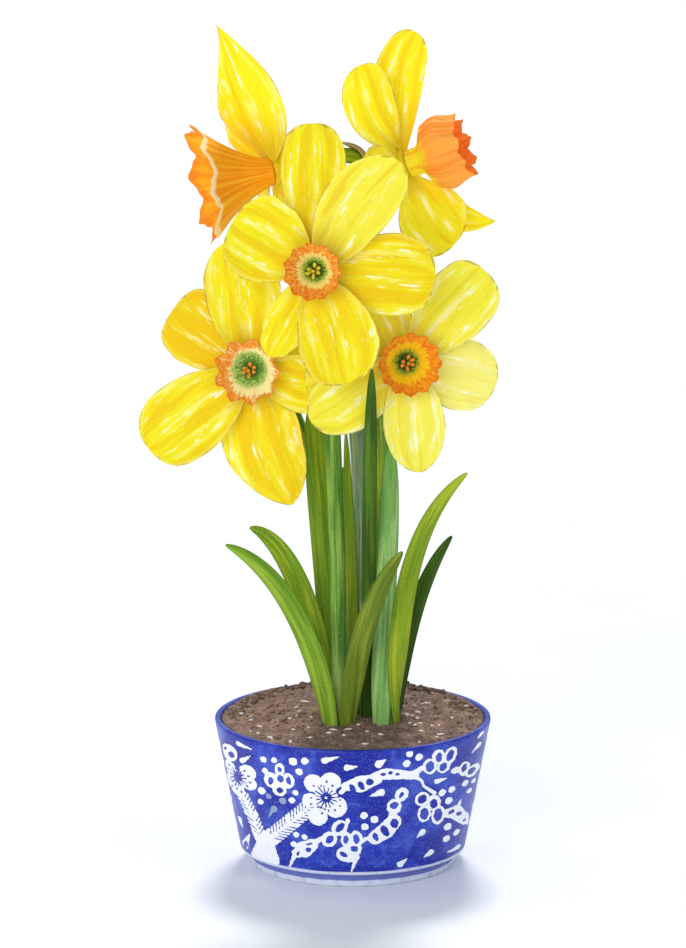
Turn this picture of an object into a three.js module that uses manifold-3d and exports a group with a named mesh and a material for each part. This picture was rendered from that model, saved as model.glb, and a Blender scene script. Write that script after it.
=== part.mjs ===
// A potted daffodil: a glazed pot filled with soil, a clump of bulbs buried in it, five flowering stems and
// fourteen strap leaves. Millimetres, +Z up, origin at the centre of the pot's underside, front towards -Y.

import * as THREE from 'three';
import { mergeVertices } from 'three/addons/utils/BufferGeometryUtils.js';
import Module from 'manifold-3d';

const wasm = await Module();
wasm.setup();

const UP = new THREE.Vector3(0, 0, 1);
const GAP = 0.3;
const TIP_CROWDING = 1.5;

// Pot
const RIM_R = 57.5;
const BELLY_R = 47;
const FOOT_R = 43;
const POT_H = 62;
const FOOT_H = 6;
const WALL = 2.6;
const FLOOR = 5;
const LIP = 1;
const POT_SIDES = 40;

// Soil
const SOIL_EDGE_Z = 61;
const SOIL_CROWN_Z = 64.5;
const SOIL_WAVE = 0.5;
const SOIL_WAVE_R = 5;
const SOIL_RINGS = [0.97, 0.8, 0.62, 0.4];
const SOIL_HEEL_INSET = 1;
const SOIL_FOOT_INSET = 5;
const SOIL_FOOT_RISE = 4;
const SOIL_SIDES = 30;
const HOLE_R = 8;
const HOLE_REACH = 1;
const HOLE_SIDES = 10;

// Bulb clump
const BULB_R = 12.5;
const BULB_FOOT_Z = 9;
const NOSE_Z = 46;
const NOSE_R = 5.5;
const NOSE_L = 4;
const BULB_SIDES = 10;
const BULB_CLEAR = 0.4;

// Stems
const STEM_R = 3.2;
const STEM_SIDES = 8;
const OVARY_L = 8;
const OVARY_R = 4.3;
const BEND = 11;
const BEND_STEPS = 4;
const SCAPE_STEPS = 9;
const SCAPE_RISE = 95;
const NECK_REACH = 70;

// Spathes
const SPATHE_T = 0.6;
const SPATHE_CLEAR = 0.6;
const SPATHE_LIFT = 2;
const SPATHE_SPREAD = 105;
const SPATHE_TIP_SPREAD = 12;
const SPATHE_NARROWING = 1.4;
const SPATHE_COLUMNS = 4;

// Leaves
const LEAF_STAND_OFF = 4.9;
const LEAF_BASE_HALF = 3;
const LEAF_RISE = 32;
const LEAF_WIDEST = 0.4;
const LEAF_TURNED_BY = 0.5;
const LEAF_STATIONS = 12;
const LEAF_TIP_HALF = 0.4;
const LEAF_CHANNEL = 0.26;
const LEAF_CORE = [1, 0.55];
const LEAF_EDGE = [0.45, 0.35];
const LEAF_TIP_TAPER = 0.65;

// Flowers
const TUBE_L = 20;
const TUBE_R = 3.7;
const TUBE_FLARE = 0.45;
const HUB_R = 7;
const HUB_BACK_R = 6.4;
const HUB_BACK = 1.8;
const THROAT_R = 3.2;
const THROAT_DEPTH = 7;
const HUB_FRONT = 1.3;
const HUB_SIDES = 10;
const TEPAL_ROOT_R = 4.5;
const TEPAL_T = 0.8;
const TEPAL_ROWS = 7;
const TEPAL_COLUMNS = 4;
const TEPAL_SHOULDER = 0.7;
const TEPAL_CLAW = 0.06;
const TEPAL_TIP = 0.002;
const TWIST_EASE = 3;
const RIPPLE = 0.9;
const RIPPLES = 9;
const RIPPLE_SLANT = 2;
const INNER_RANK = { height: 0.7, cupping: 0.13 };
const OUTER_RANK = { height: -0.6, cupping: -0.1 };
const LEAST_BEND = 0.01;
const CUP_T = 0.8;
const FRILL_GROWTH = 3;

// Stamens
const ANTHERS = 6;
const ANTHER_L = 3.6;
const ANTHER_R = 0.9;
const FILAMENT_R = 0.35;
const FILAMENT_AT = 1.9;
const ANTHER_AT = 2.4;
const STYLE_R = 0.5;
const STIGMA_R = 1;
const STIGMA_L = 2.8;
const SEAT_H = 1.2;
const SEAT_SIDES = 6;
const THREAD_SIDES = 4;
const STAMEN_REACH = 0.7;
const LONGEST_STAMEN = 14;

// Outline of a bulb below its nose: shares of its widest radius at shares of its height
const BULB_SHAPE = [[0.45, 0], [0.9, 0.2], [1, 0.42], [0.8, 0.68]];

// Outline of an ovary: shares of its length from the stem and the radius there
const OVARY_SHAPE = [[0.35, OVARY_R], [0.75, OVARY_R], [1, TUBE_R]];

// Shoots of the clump: where each stem leaves the soil
const SHOOTS = {
  front: [-5.5, -17],
  lower_left: [-6, 6],
  lower_right: [14, 6],
  upper_left: [14, -17],
  upper_right: [5, -5],
};

// Tepal: bearing round the flower, length, half width, lift at the root and bend towards the tip in degrees,
// inner rank or not, and where it needs them how pointed it is, its twist, and how far its middle sways aside
const FLOWERS = {
  front: {
    centre: [-15.4, -47, 260],
    yaw: -6,
    pitch: 6,
    lean: [-0.04, 0.05, 1],
    tepals: [
      { bearing: 150, length: 38.5, half: 18, lift: 3, bend: -4, inner: true, pointed: 0.4 },
      { bearing: 92, length: 59, half: 13.5, lift: -5, bend: 4, pointed: 0.35 },
      { bearing: 53, length: 56, half: 14.5, lift: 3, bend: -4, inner: true, sway: 2.5 },
      { bearing: -3, length: 48.5, half: 17, lift: -3, bend: -4, pointed: 0.4 },
      { bearing: -73, length: 47.5, half: 16.5, lift: 3, bend: -2, inner: true, pointed: 0.4, sway: 1.5 },
      { bearing: -118, length: 42, half: 9, lift: -10, bend: -4 },
    ],
    cup: { base: 5.6, mouth: 12, length: 9, lobes: 12, ruffle: 0.8, flare: 0.8 },
  },
  lower_left: {
    centre: [-41.6, -20, 213.8],
    yaw: -10,
    pitch: 4,
    lean: [-0.42, 0.12, 1],
    tepals: [
      { bearing: 219, length: 54.5, half: 16.5, lift: 4, bend: -6, inner: true, pointed: 0.4 },
      { bearing: -74, length: 59, half: 17, lift: -4, bend: -2, pointed: 0.7, sway: -4.5 },
      { bearing: 147, length: 41, half: 16, lift: -4, bend: -6, pointed: 0.3 },
      { bearing: 96, length: 53, half: 16, lift: 4, bend: -8, inner: true, pointed: 0.4 },
      { bearing: -14, length: 36, half: 12, lift: 3, bend: -8, inner: true },
      { bearing: 38, length: 40, half: 13, lift: -6, bend: -6 },
    ],
    cup: { base: 5.8, mouth: 13, length: 8.5, lobes: 9, ruffle: 1.1, flare: 0.8, columns: 27 },
  },
  lower_right: {
    centre: [21.5, -30, 218.8],
    yaw: 10,
    pitch: 4,
    lean: [0.03, 0.02, 1],
    tepals: [
      { bearing: 48, length: 49.5, half: 15, lift: 3, bend: -4, inner: true, pointed: 0.35 },
      { bearing: -16, length: 40, half: 15, lift: -4, bend: -2, pointed: 0.45 },
      { bearing: -84, length: 46, half: 13, lift: 3, bend: -6, inner: true, pointed: 0.6 },
      { bearing: 210, length: 46, half: 14, lift: 2, bend: -4, inner: true },
      { bearing: 192, length: 42, half: 13, lift: -5, bend: 0 },
      { bearing: 118, length: 42, half: 14, lift: -5, bend: -4 },
    ],
    cup: { base: 5.8, mouth: 12.8, length: 8, lobes: 12, ruffle: 0.7, flare: 0.8 },
  },
  upper_left: {
    centre: [-32.4, 0, 292.3],
    yaw: -70,
    pitch: -9,
    lean: [0, 0.1, 1],
    tepals: [
      {
        bearing: 90, length: 68, half: 14, lift: -6, bend: 38,
        inner: true, pointed: 1.3, twist: 75, sway: 4,
      },
      { bearing: 128, length: 34, half: 12, lift: -4, bend: 42, twist: 60 },
      { bearing: 196, length: 44, half: 15, lift: -3, bend: -10, inner: true },
      { bearing: -100, length: 40, half: 14, lift: -6, bend: -8 },
      { bearing: -38, length: 36, half: 13, lift: -30, bend: -12, inner: true },
      { bearing: 28, length: 28, half: 12, lift: -32, bend: -8 },
    ],
    cup: { base: 5.8, mouth: 24, length: 28, lobes: 8, ruffle: 1.8, flare: 1.5, rows: 5 },
  },
  upper_right: {
    centre: [21.5, 20, 291.4],
    yaw: 80,
    pitch: 20,
    lean: [-0.25, 0.25, 1],
    tepals: [
      { bearing: 95, length: 45.5, half: 11, lift: -3, bend: 0, pointed: 0.4, twist: -75, sway: 3 },
      { bearing: 72, length: 57, half: 10.5, lift: -3, bend: 50, inner: true, pointed: 0.4, twist: -75 },
      { bearing: 2, length: 34, half: 12, lift: -8, bend: -4, inner: true },
      { bearing: -70, length: 50, half: 8.5, lift: 0, bend: 76, pointed: 1, twist: 60 },
      { bearing: -92, length: 39, half: 15, lift: -3, bend: 34, inner: true, pointed: 0.4, twist: 70 },
      { bearing: 172, length: 30, half: 11, lift: -20, bend: -8 },
    ],
    cup: { base: 5.6, mouth: 14.5, length: 25, lobes: 8, ruffle: 1.2, opens: [0.22, 0.5], rows: 7 },
  },
};

// Leaf: the shoot and the side of its stem that it grows on, where its arch pulls to, its tip, its widest
// half width, how square its tip is, and which way its inner face has turned by the middle, in degrees
const LEAVES = [
  { shoot: 'front', side: 232, pull: [-22, -33, 130], tip: [-51.9, -42, 144.8], half: 4.4, faces: 95 },
  { shoot: 'front', side: 125, pull: [-21, -8, 140], tip: [-42.7, 6, 141], half: 4.9, faces: 275 },
  { shoot: 'front', side: 310, pull: [4, -42, 120], tip: [20, -55, 145], half: 4.6, faces: 95 },
  { shoot: 'upper_right', side: 288, pull: [2, -32, 140], tip: [7.6, -47, 219], half: 3.4, square: 7 },
  { shoot: 'upper_left', side: 16, pull: [14, -38, 146], tip: [46.5, -40, 174.4], half: 4.3, faces: 100 },
  { shoot: 'lower_right', side: 320, pull: [25, -2, 118], tip: [41.1, 2, 138.4], half: 3.5, faces: 95 },
  { shoot: 'lower_left', side: 265, pull: [-12, 0, 140], tip: [-17, -3, 196], half: 5.6, square: 7 },
  { shoot: 'lower_left', side: 180, pull: [-15, 14, 104], tip: [-14, 46, 122], half: 4.4, faces: 330 },
  { shoot: 'lower_left', side: 80, pull: [-2, 28, 126], tip: [-4, 54, 156], half: 4.8, faces: 262 },
  { shoot: 'upper_right', side: 180, pull: [-2, -6, 130], tip: [-3, -7, 184], half: 3.6, faces: 45 },
  { shoot: 'upper_right', side: 90, pull: [5, 13, 130], tip: [6, 26, 186], half: 4.6, faces: 262 },
  {
    shoot: 'upper_left', side: 230, pull: [14.4, -23.5, 130], tip: [15, -22, 183],
    half: 4.6, faces: 116, square: 7,
  },
  { shoot: 'lower_right', side: 45, pull: [23, 20, 104], tip: [23, 48, 114], half: 4.2, faces: 225 },
  { shoot: 'lower_right', side: 140, pull: [9, 28, 126], tip: [8, 58, 150], half: 4.2, faces: 275 },
];

// Shares of the length of a petal or leaf, from 0 to 1, closer together towards its tip
function crowded(steps) {
  return Array.from({ length: steps + 1 }, (_, i) => 1 - (1 - i / steps) ** TIP_CROWDING);
}

const rad = THREE.MathUtils.degToRad;
const vec = (p) => new THREE.Vector3(...p);
const mix = THREE.MathUtils.lerp;

// Finish of each kind of piece
const finish = (color, roughness) => new THREE.MeshStandardMaterial({ color, roughness, metalness: 0 });
const GLAZE = finish(0x2a35c0, 0.15);
const EARTH = finish(0x6a564a, 0.95);
const BULB_SKIN = finish(0x9a6a3c, 0.8);
const STEM_GREEN = finish(0x5f9a45, 0.55);
const LEAF_GREEN = finish(0x5b8f2b, 0.5);
const PAPERY = finish(0xc2a878, 0.85);
const YELLOW = finish(0xfbe122, 0.6);
const ORANGE = finish(0xf57a1c, 0.6);
const POLLEN = finish(0xf0b030, 0.8);

const plant = new THREE.Group();

function place(name, geometry, material) {
  const mesh = new THREE.Mesh(geometry, material);
  mesh.name = name;
  plant.add(mesh);
}

// Geometry with shared corners and without collapsed faces
function welded(geometry) {
  const bare = geometry.clone();
  bare.deleteAttribute('normal');
  bare.deleteAttribute('uv');
  const merged = mergeVertices(bare, 1e-4);
  const corners = merged.index.array;
  const kept = [];
  for (let i = 0; i < corners.length; i += 3) {
    const [a, b, c] = [corners[i], corners[i + 1], corners[i + 2]];
    if (a !== b && b !== c && c !== a) kept.push(a, b, c);
  }
  merged.setIndex(kept);
  return merged;
}

function toSolid(geometry) {
  const merged = welded(geometry);
  const vertProperties = Float32Array.from(merged.attributes.position.array);
  const triVerts = Uint32Array.from(merged.index.array);
  return new wasm.Manifold(new wasm.Mesh({ numProp: 3, vertProperties, triVerts }));
}

function toGeometry(solid) {
  const { vertProperties, triVerts } = solid.getMesh();
  return meshed(Array.from(vertProperties), Array.from(triVerts));
}

function meshed(positions, faces) {
  const geometry = new THREE.BufferGeometry();
  geometry.setAttribute('position', new THREE.Float32BufferAttribute(positions, 3));
  geometry.setIndex(faces);
  return geometry;
}

function joined(geometries) {
  return geometries.map(toSolid).reduce((whole, piece) => whole.add(piece));
}

// A body of revolution about Z from [radius, height] pairs that start and end on the axis
function turned(profile, sides) {
  const points = profile.map(([r, z]) => new THREE.Vector2(r, z));
  return new THREE.LatheGeometry(points, sides).rotateX(Math.PI / 2);
}

// A closed body through rings of points, with its ends capped over the flat outline of the section
function lofted(rings, outline) {
  const n = outline.length;
  const positions = rings.flat().flatMap((p) => p.toArray());
  const faces = [];
  for (let r = 0; r < rings.length - 1; r++) {
    for (let i = 0; i < n; i++) {
      const j = (i + 1) % n;
      const [a, b, c, d] = [r * n + i, r * n + j, (r + 1) * n + j, (r + 1) * n + i];
      faces.push(a, b, c, a, c, d);
    }
  }
  const last = (rings.length - 1) * n;
  for (const [a, b, c] of THREE.ShapeUtils.triangulateShape(outline, [])) {
    faces.push(c, b, a, last + a, last + b, last + c);
  }
  return meshed(positions, faces);
}

// Two grids of points, back to back, closed along their edges; round also closes the first column to the last
function walled(front, back, round) {
  const rows = front.length;
  const columns = front[0].length;
  const positions = [...front.flat(), ...back.flat()].flatMap((p) => p.toArray());
  const behind = rows * columns;
  const at = (row, column) => row * columns + (column % columns);
  const faces = [];
  const band = (a, b, c, d) => faces.push(a, b, c, a, c, d);
  const spans = round ? columns : columns - 1;
  for (let r = 0; r < rows - 1; r++) {
    for (let c = 0; c < spans; c++) {
      const [p, q, s, t] = [at(r, c), at(r, c + 1), at(r + 1, c + 1), at(r + 1, c)];
      faces.push(p, q, s, p, s, t);
      faces.push(s + behind, q + behind, p + behind, t + behind, s + behind, p + behind);
    }
  }
  for (let c = 0; c < spans; c++) {
    band(at(0, c + 1), at(0, c), at(0, c) + behind, at(0, c + 1) + behind);
    band(at(rows - 1, c), at(rows - 1, c + 1), at(rows - 1, c + 1) + behind, at(rows - 1, c) + behind);
  }
  for (let r = 0; r < rows - 1 && !round; r++) {
    const end = columns - 1;
    band(at(r, 0), at(r + 1, 0), at(r + 1, 0) + behind, at(r, 0) + behind);
    band(at(r + 1, end), at(r, end), at(r, end) + behind, at(r + 1, end) + behind);
  }
  return meshed(positions, faces);
}

// Along a row of points, the direction of travel at each and two directions square to it that don't spin
function travel(points, firstAcross) {
  let across = firstAcross.clone();
  return points.map((point, i) => {
    const before = points[Math.max(i - 1, 0)];
    const after = points[Math.min(i + 1, points.length - 1)];
    const ahead = after.clone().sub(before).normalize();
    across = across.clone().addScaledVector(ahead, -across.dot(ahead)).normalize();
    return { point, ahead, across, inward: ahead.clone().cross(across) };
  });
}

function circle(sides) {
  const points = [];
  for (let i = 0; i < sides; i++) {
    const angle = (2 * Math.PI * i) / sides;
    points.push(new THREE.Vector2(Math.cos(angle), Math.sin(angle)));
  }
  return points;
}

function ringsOf(stations, outlineAt) {
  return stations.map(({ point, across, inward }, i) =>
    outlineAt(i).map((p) => point.clone().addScaledVector(across, p.x).addScaledVector(inward, p.y)));
}

// A round bar through points, with a radius at each
function bar(points, radii, sides) {
  const outline = circle(sides);
  const stations = travel(points, new THREE.Vector3(1, 0, 0));
  return lofted(ringsOf(stations, (i) => outline.map((p) => p.clone().multiplyScalar(radii[i]))), outline);
}

// Pot: straight flared sides over a small stepped foot
function pot() {
  const innerFloorR = BELLY_R - WALL - 1;
  return turned([
    [0, 0],
    [FOOT_R - LIP, 0],
    [FOOT_R, LIP],
    [FOOT_R, FOOT_H - LIP],
    [BELLY_R - LIP, FOOT_H],
    [BELLY_R, FOOT_H + LIP],
    [RIM_R, POT_H - LIP],
    [RIM_R - LIP / 2, POT_H],
    [RIM_R - WALL + LIP / 2, POT_H],
    [RIM_R - WALL, POT_H - LIP],
    [innerFloorR, FLOOR + 2 * LIP],
    [innerFloorR - 2 * LIP, FLOOR],
    [0, FLOOR],
  ], POT_SIDES);
}

// One bulb of the clump, or the room for it in the soil
function bulb([x, y], clear) {
  const belly = BULB_R + clear;
  const foot = BULB_FOOT_Z - clear;
  return turned([
    [0, foot],
    ...BULB_SHAPE.map(([wide, high]) => [belly * wide, mix(foot, NOSE_Z, high)]),
    [NOSE_R + clear, NOSE_Z - NOSE_L],
    [NOSE_R + clear, NOSE_Z + clear],
    [0, NOSE_Z + clear],
  ], BULB_SIDES).translate(x, y, 0);
}

// Soil: fills the pot to just under the rim, gently mounded, with a plain hole for each shoot
function soil() {
  const edge = RIM_R - WALL - GAP;
  const slope = (RIM_R - BELLY_R) / (POT_H - FOOT_H - 2 * LIP);
  const innerRAt = (z) => edge - (POT_H - LIP - z) * slope;
  const base = FLOOR + GAP;
  const waved = (r) => SOIL_WAVE * Math.sin(r / SOIL_WAVE_R);
  const crown = (r) => mix(SOIL_CROWN_Z, SOIL_EDGE_Z, (r / edge) ** 2) + waved(r);
  const body = turned([
    [0, base],
    [innerRAt(base) - SOIL_FOOT_INSET, base],
    [innerRAt(base + SOIL_FOOT_RISE) - SOIL_HEEL_INSET, base + SOIL_FOOT_RISE],
    [innerRAt(SOIL_EDGE_Z - LIP), SOIL_EDGE_Z - LIP],
    ...SOIL_RINGS.map((share) => [edge * share, crown(edge * share)]),
    [0, crown(0)],
  ], SOIL_SIDES);
  const depth = SOIL_CROWN_Z - NOSE_Z + 2 * HOLE_REACH;
  const rooms = Object.values(SHOOTS).flatMap(([x, y]) => [
    bulb([x, y], BULB_CLEAR),
    new THREE.CylinderGeometry(HOLE_R, HOLE_R, depth, HOLE_SIDES)
      .rotateX(Math.PI / 2).translate(x, y, NOSE_Z - HOLE_REACH + depth / 2),
  ]);
  return toGeometry(toSolid(body).subtract(joined(rooms)));
}

// Directions of a flower: out along its axis, to its right and up, as seen by who it faces
function facing({ yaw, pitch }) {
  const [turn, tilt] = [rad(yaw), rad(pitch)];
  const level = Math.cos(tilt);
  const out = new THREE.Vector3(Math.sin(turn) * level, -Math.cos(turn) * level, Math.sin(tilt));
  const right = new THREE.Vector3(Math.cos(turn), Math.sin(turn), 0);
  return { out, right, up: out.clone().cross(right) };
}

// Takes a body made about Z to where the flower is
function onFlower(geometry, flower) {
  const { out, right, up } = facing(flower);
  const turn = new THREE.Matrix4().makeBasis(right, up, out).setPosition(...flower.centre);
  return geometry.applyMatrix4(turn);
}

// Half width of a tepal along its length, as a share of its widest
function tepalOutline(along, pointed) {
  const shape = (x) => (x + TEPAL_CLAW) ** TEPAL_SHOULDER * (1 + TEPAL_TIP - x) ** pointed;
  const widest = (TEPAL_SHOULDER - TEPAL_CLAW * pointed) / (TEPAL_SHOULDER + pointed);
  return shape(along) / shape(widest);
}

// A tepal about Z: an arc from root to tip, cupped, waved, twisted about its own length and swayed aside
function tepal({ bearing, length, half, lift, bend, inner = false, pointed = 0.5, twist = 0, sway = 0 }) {
  const run = length - TEPAL_ROOT_R;
  const [start, turn] = [rad(lift), rad(bend || LEAST_BEND)];
  const { height, cupping } = inner ? INNER_RANK : OUTER_RANK;
  const rank = { front: [], back: [] };
  for (const along of crowded(TEPAL_ROWS)) {
    const slope = start + turn * along;
    const reach = TEPAL_ROOT_R + (run * (Math.sin(slope) - Math.sin(start))) / turn;
    const rise = height + (run * (Math.cos(start) - Math.cos(slope))) / turn;
    const spin = rad(twist) * (1 - (1 - along) ** TWIST_EASE);
    const aside = sway * Math.sin(Math.PI * along);
    const normal = new THREE.Vector3(-Math.sin(slope), 0, Math.cos(slope));
    const side = new THREE.Vector3(0, Math.cos(spin), 0).addScaledVector(normal, Math.sin(spin));
    const face = normal.multiplyScalar(Math.cos(spin)).add(new THREE.Vector3(0, -Math.sin(spin), 0));
    const width = half * tepalOutline(along, pointed);
    for (const [key, shift] of [['front', TEPAL_T / 2], ['back', -TEPAL_T / 2]]) {
      const line = [];
      for (let column = 0; column <= TEPAL_COLUMNS; column++) {
        const across = (2 * column) / TEPAL_COLUMNS - 1;
        const ripple = RIPPLE * along * Math.sin(RIPPLES * along + RIPPLE_SLANT * across + bearing);
        const off = shift + (cupping * width + ripple) * across * across;
        const middle = new THREE.Vector3(reach, 0, rise);
        line.push(middle.addScaledVector(side, aside + width * across).addScaledVector(face, off));
      }
      rank[key].push(line);
    }
  }
  return walled(rank.back, rank.front, false).rotateZ(rad(bearing));
}

// Petals of one flower: six tepals fused to the tube behind them, whose throat is open
function petals(flower) {
  const hub = turned([
    [0, -TUBE_L],
    [TUBE_R, -TUBE_L],
    [TUBE_R, -TUBE_L * TUBE_FLARE],
    [HUB_BACK_R, -HUB_BACK],
    [HUB_R, HUB_FRONT],
    [THROAT_R, HUB_FRONT],
    [THROAT_R, -THROAT_DEPTH],
    [0, -THROAT_DEPTH],
  ], HUB_SIDES);
  const whole = joined([hub, ...flower.tepals.map(tepal)]);
  return onFlower(toGeometry(whole), flower);
}

// Cup of one flower: a flared ring with a ruffled mouth, open at both ends
function cup(flower) {
  const { base, mouth, length, lobes, ruffle, flare, opens, rows = 3, columns = 24 } = flower.cup;
  const [outer, inner] = [[], []];
  for (let row = 0; row <= rows; row++) {
    const along = row / rows;
    const share = opens ? THREE.MathUtils.smoothstep(along, ...opens) : along ** flare;
    const frill = ruffle * along ** FRILL_GROWTH;
    const [outside, inside] = [[], []];
    for (let column = 0; column < columns; column++) {
      const angle = (2 * Math.PI * column) / columns;
      const wave = Math.cos(lobes * angle);
      const radius = mix(base, mouth, share) + frill * wave;
      const height = HUB_FRONT + GAP + length * along + frill * Math.sin(lobes * angle + 1);
      outside.push(new THREE.Vector3(radius * Math.cos(angle), radius * Math.sin(angle), height));
      const within = radius - CUP_T;
      inside.push(new THREE.Vector3(within * Math.cos(angle), within * Math.sin(angle), height));
    }
    outer.push(outside);
    inner.push(inside);
  }
  return onFlower(walled(outer, inner, true), flower);
}

// Stamens of one flower: six anthers on filaments round a style, fused at the foot, standing in the throat
function stamens(flower) {
  const foot = GAP - THROAT_DEPTH;
  const seat = foot + SEAT_H;
  const seatR = THROAT_R - GAP;
  const rise = Math.min(flower.cup.length * STAMEN_REACH, LONGEST_STAMEN);
  const style = [foot + SEAT_H / 2, rise, rise + STIGMA_L * STAMEN_REACH, rise + STIGMA_L];
  const pieces = [
    turned([[0, foot], [seatR, foot], [seatR, seat], [0, seat]], SEAT_SIDES),
    bar(style.map((z) => new THREE.Vector3(0, 0, z)), [STYLE_R, STYLE_R, STIGMA_R, STYLE_R], THREAD_SIDES),
  ];
  const line = [
    [FILAMENT_AT, foot + SEAT_H / 2],
    [FILAMENT_AT, rise - ANTHER_L],
    [ANTHER_AT, rise - ANTHER_L / 2],
    [ANTHER_AT, rise],
  ];
  for (let i = 0; i < ANTHERS; i++) {
    const angle = (2 * Math.PI * (i + 0.5)) / ANTHERS;
    const points = line.map(([r, z]) => new THREE.Vector3(r * Math.cos(angle), r * Math.sin(angle), z));
    pieces.push(bar(points, [FILAMENT_R, FILAMENT_R, ANTHER_R, FILAMENT_R], THREAD_SIDES));
  }
  return onFlower(toGeometry(joined(pieces)), flower);
}

// Line of a stem, from the bulb's nose up the scape, round the bend at its neck and along the ovary
function stemLine(name) {
  const flower = FLOWERS[name];
  const { out } = facing(flower);
  const behind = (distance) => vec(flower.centre).addScaledVector(out, -distance);
  const ovaryBack = TUBE_L + GAP + OVARY_L;
  const elbow = behind(ovaryBack + BEND);
  const lean = vec(flower.lean).normalize();
  const neck = elbow.clone().addScaledVector(lean, -BEND);
  const root = new THREE.Vector3(...SHOOTS[name], NOSE_Z + GAP);
  const scape = new THREE.CubicBezierCurve3(
    root,
    root.clone().addScaledVector(UP, SCAPE_RISE),
    neck.clone().addScaledVector(lean, -NECK_REACH),
    neck,
  );
  const bend = new THREE.QuadraticBezierCurve3(neck, elbow, behind(ovaryBack));
  const points = [...scape.getPoints(SCAPE_STEPS), ...bend.getPoints(BEND_STEPS).slice(1)];
  const radii = points.map(() => STEM_R);
  for (const [share, radius] of OVARY_SHAPE) {
    points.push(behind(ovaryBack - OVARY_L * share));
    radii.push(radius);
  }
  return { points, radii, bend };
}

function stem(name) {
  const { points, radii } = stemLine(name);
  return bar(points, radii, STEM_SIDES);
}

// Spathe: the papery sheath that clasps the stem below its bend and runs out to a point over the ovary
function spathe(name) {
  const { bend } = stemLine(name);
  const stations = travel(bend.getPoints(BEND_STEPS), new THREE.Vector3(1, 0, 0));
  const outward = bend.v1.clone().multiplyScalar(2).sub(bend.v0).sub(bend.v2);
  const [front, back] = [[], []];
  stations.forEach(({ point, ahead }, row) => {
    const along = row / BEND_STEPS;
    const away = outward.clone().addScaledVector(ahead, -outward.dot(ahead)).normalize();
    const beside = ahead.clone().cross(away);
    const spread = rad(mix(SPATHE_SPREAD, SPATHE_TIP_SPREAD, along ** SPATHE_NARROWING));
    const [outside, inside] = [[], []];
    for (let column = 0; column <= SPATHE_COLUMNS; column++) {
      const angle = spread * ((2 * column) / SPATHE_COLUMNS - 1);
      const direction = away.clone().multiplyScalar(Math.cos(angle)).addScaledVector(beside, Math.sin(angle));
      const clear = STEM_R + SPATHE_CLEAR + SPATHE_LIFT * along ** 2;
      inside.push(point.clone().addScaledVector(direction, clear));
      outside.push(point.clone().addScaledVector(direction, clear + SPATHE_T));
    }
    front.push(outside);
    back.push(inside);
  });
  return walled(front, back, false);
}

// Half width of a leaf along its length, as a share of its widest
function leafOutline(along, square) {
  if (along < LEAF_WIDEST) return THREE.MathUtils.smoothstep(along, 0, LEAF_WIDEST);
  const onward = (along - LEAF_WIDEST) / (1 - LEAF_WIDEST);
  return Math.max(1 - onward ** square, 0) ** LEAF_TIP_TAPER;
}

// A strap leaf: a channelled blade that rises beside its stem, turns about its length and arches to its tip
function leaf({ shoot, side, pull, tip, half, square = 2.6, faces = 90 }) {
  const toStem = new THREE.Vector3(-Math.cos(rad(side)), -Math.sin(rad(side)), 0);
  const root = new THREE.Vector3(...SHOOTS[shoot], NOSE_Z + GAP).addScaledVector(toStem, -LEAF_STAND_OFF);
  const above = root.clone().addScaledVector(UP, LEAF_RISE);
  const swing = THREE.MathUtils.euclideanModulo(faces - side, 360) - 180;
  const line = new THREE.CubicBezierCurve3(root, above, vec(pull), vec(tip));
  const steps = crowded(LEAF_STATIONS - 1);
  const stations = steps.map((along) => {
    const ahead = line.getTangent(along);
    const turn = rad(side + 180 + swing * THREE.MathUtils.smoothstep(along, 0, LEAF_TURNED_BY));
    const face = new THREE.Vector3(Math.cos(turn), Math.sin(turn), 0);
    face.addScaledVector(ahead, -face.dot(ahead)).normalize();
    return { point: line.getPoint(along), across: face.clone().cross(ahead), inward: face };
  });
  const outlineAt = (i) => {
    const along = steps[i];
    const share = leafOutline(along, square);
    const narrowest = along < LEAF_WIDEST ? LEAF_BASE_HALF : LEAF_TIP_HALF;
    const width = mix(narrowest, half, share);
    const channel = LEAF_CHANNEL * width;
    const [core, edge] = [mix(...LEAF_CORE, along), mix(...LEAF_EDGE, along)];
    const section = [
      [0, -core],
      [width, channel - edge],
      [width, channel + edge],
      [0, core],
      [-width, channel + edge],
      [-width, channel - edge],
    ];
    return section.map(([x, y]) => new THREE.Vector2(x, y));
  };
  return lofted(ringsOf(stations, outlineAt), outlineAt(0));
}

place('pot', pot(), GLAZE);
place('soil', soil(), EARTH);
place('bulb_clump', toGeometry(joined(Object.values(SHOOTS).map((spot) => bulb(spot, 0)))), BULB_SKIN);
for (const [name, flower] of Object.entries(FLOWERS)) {
  place(`stem_${name}`, stem(name), STEM_GREEN);
  place(`spathe_${name}`, spathe(name), PAPERY);
  place(`petals_${name}`, petals(flower), YELLOW);
  place(`cup_${name}`, cup(flower), ORANGE);
  place(`stamens_${name}`, stamens(flower), POLLEN);
}
LEAVES.forEach((spec, i) => place(`leaf_${String(i + 1).padStart(2, '0')}`, leaf(spec), LEAF_GREEN));

export default plant;
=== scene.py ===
"""Looks of a potted daffodil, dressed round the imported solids.

The pieces are a painted bowl, its soil, strap leaves and five flowers. Lengths are in millimetres until a
mesh is made, and metres from there on. +Z is up and -Y is the front.
"""

import functools
import logging
import math
import random
from dataclasses import dataclass, field
from enum import Enum
from typing import Callable, ClassVar, Iterable, Optional, Sequence, Union

import bmesh
import bpy
import numpy as np
from mathutils import Matrix, Vector


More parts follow.
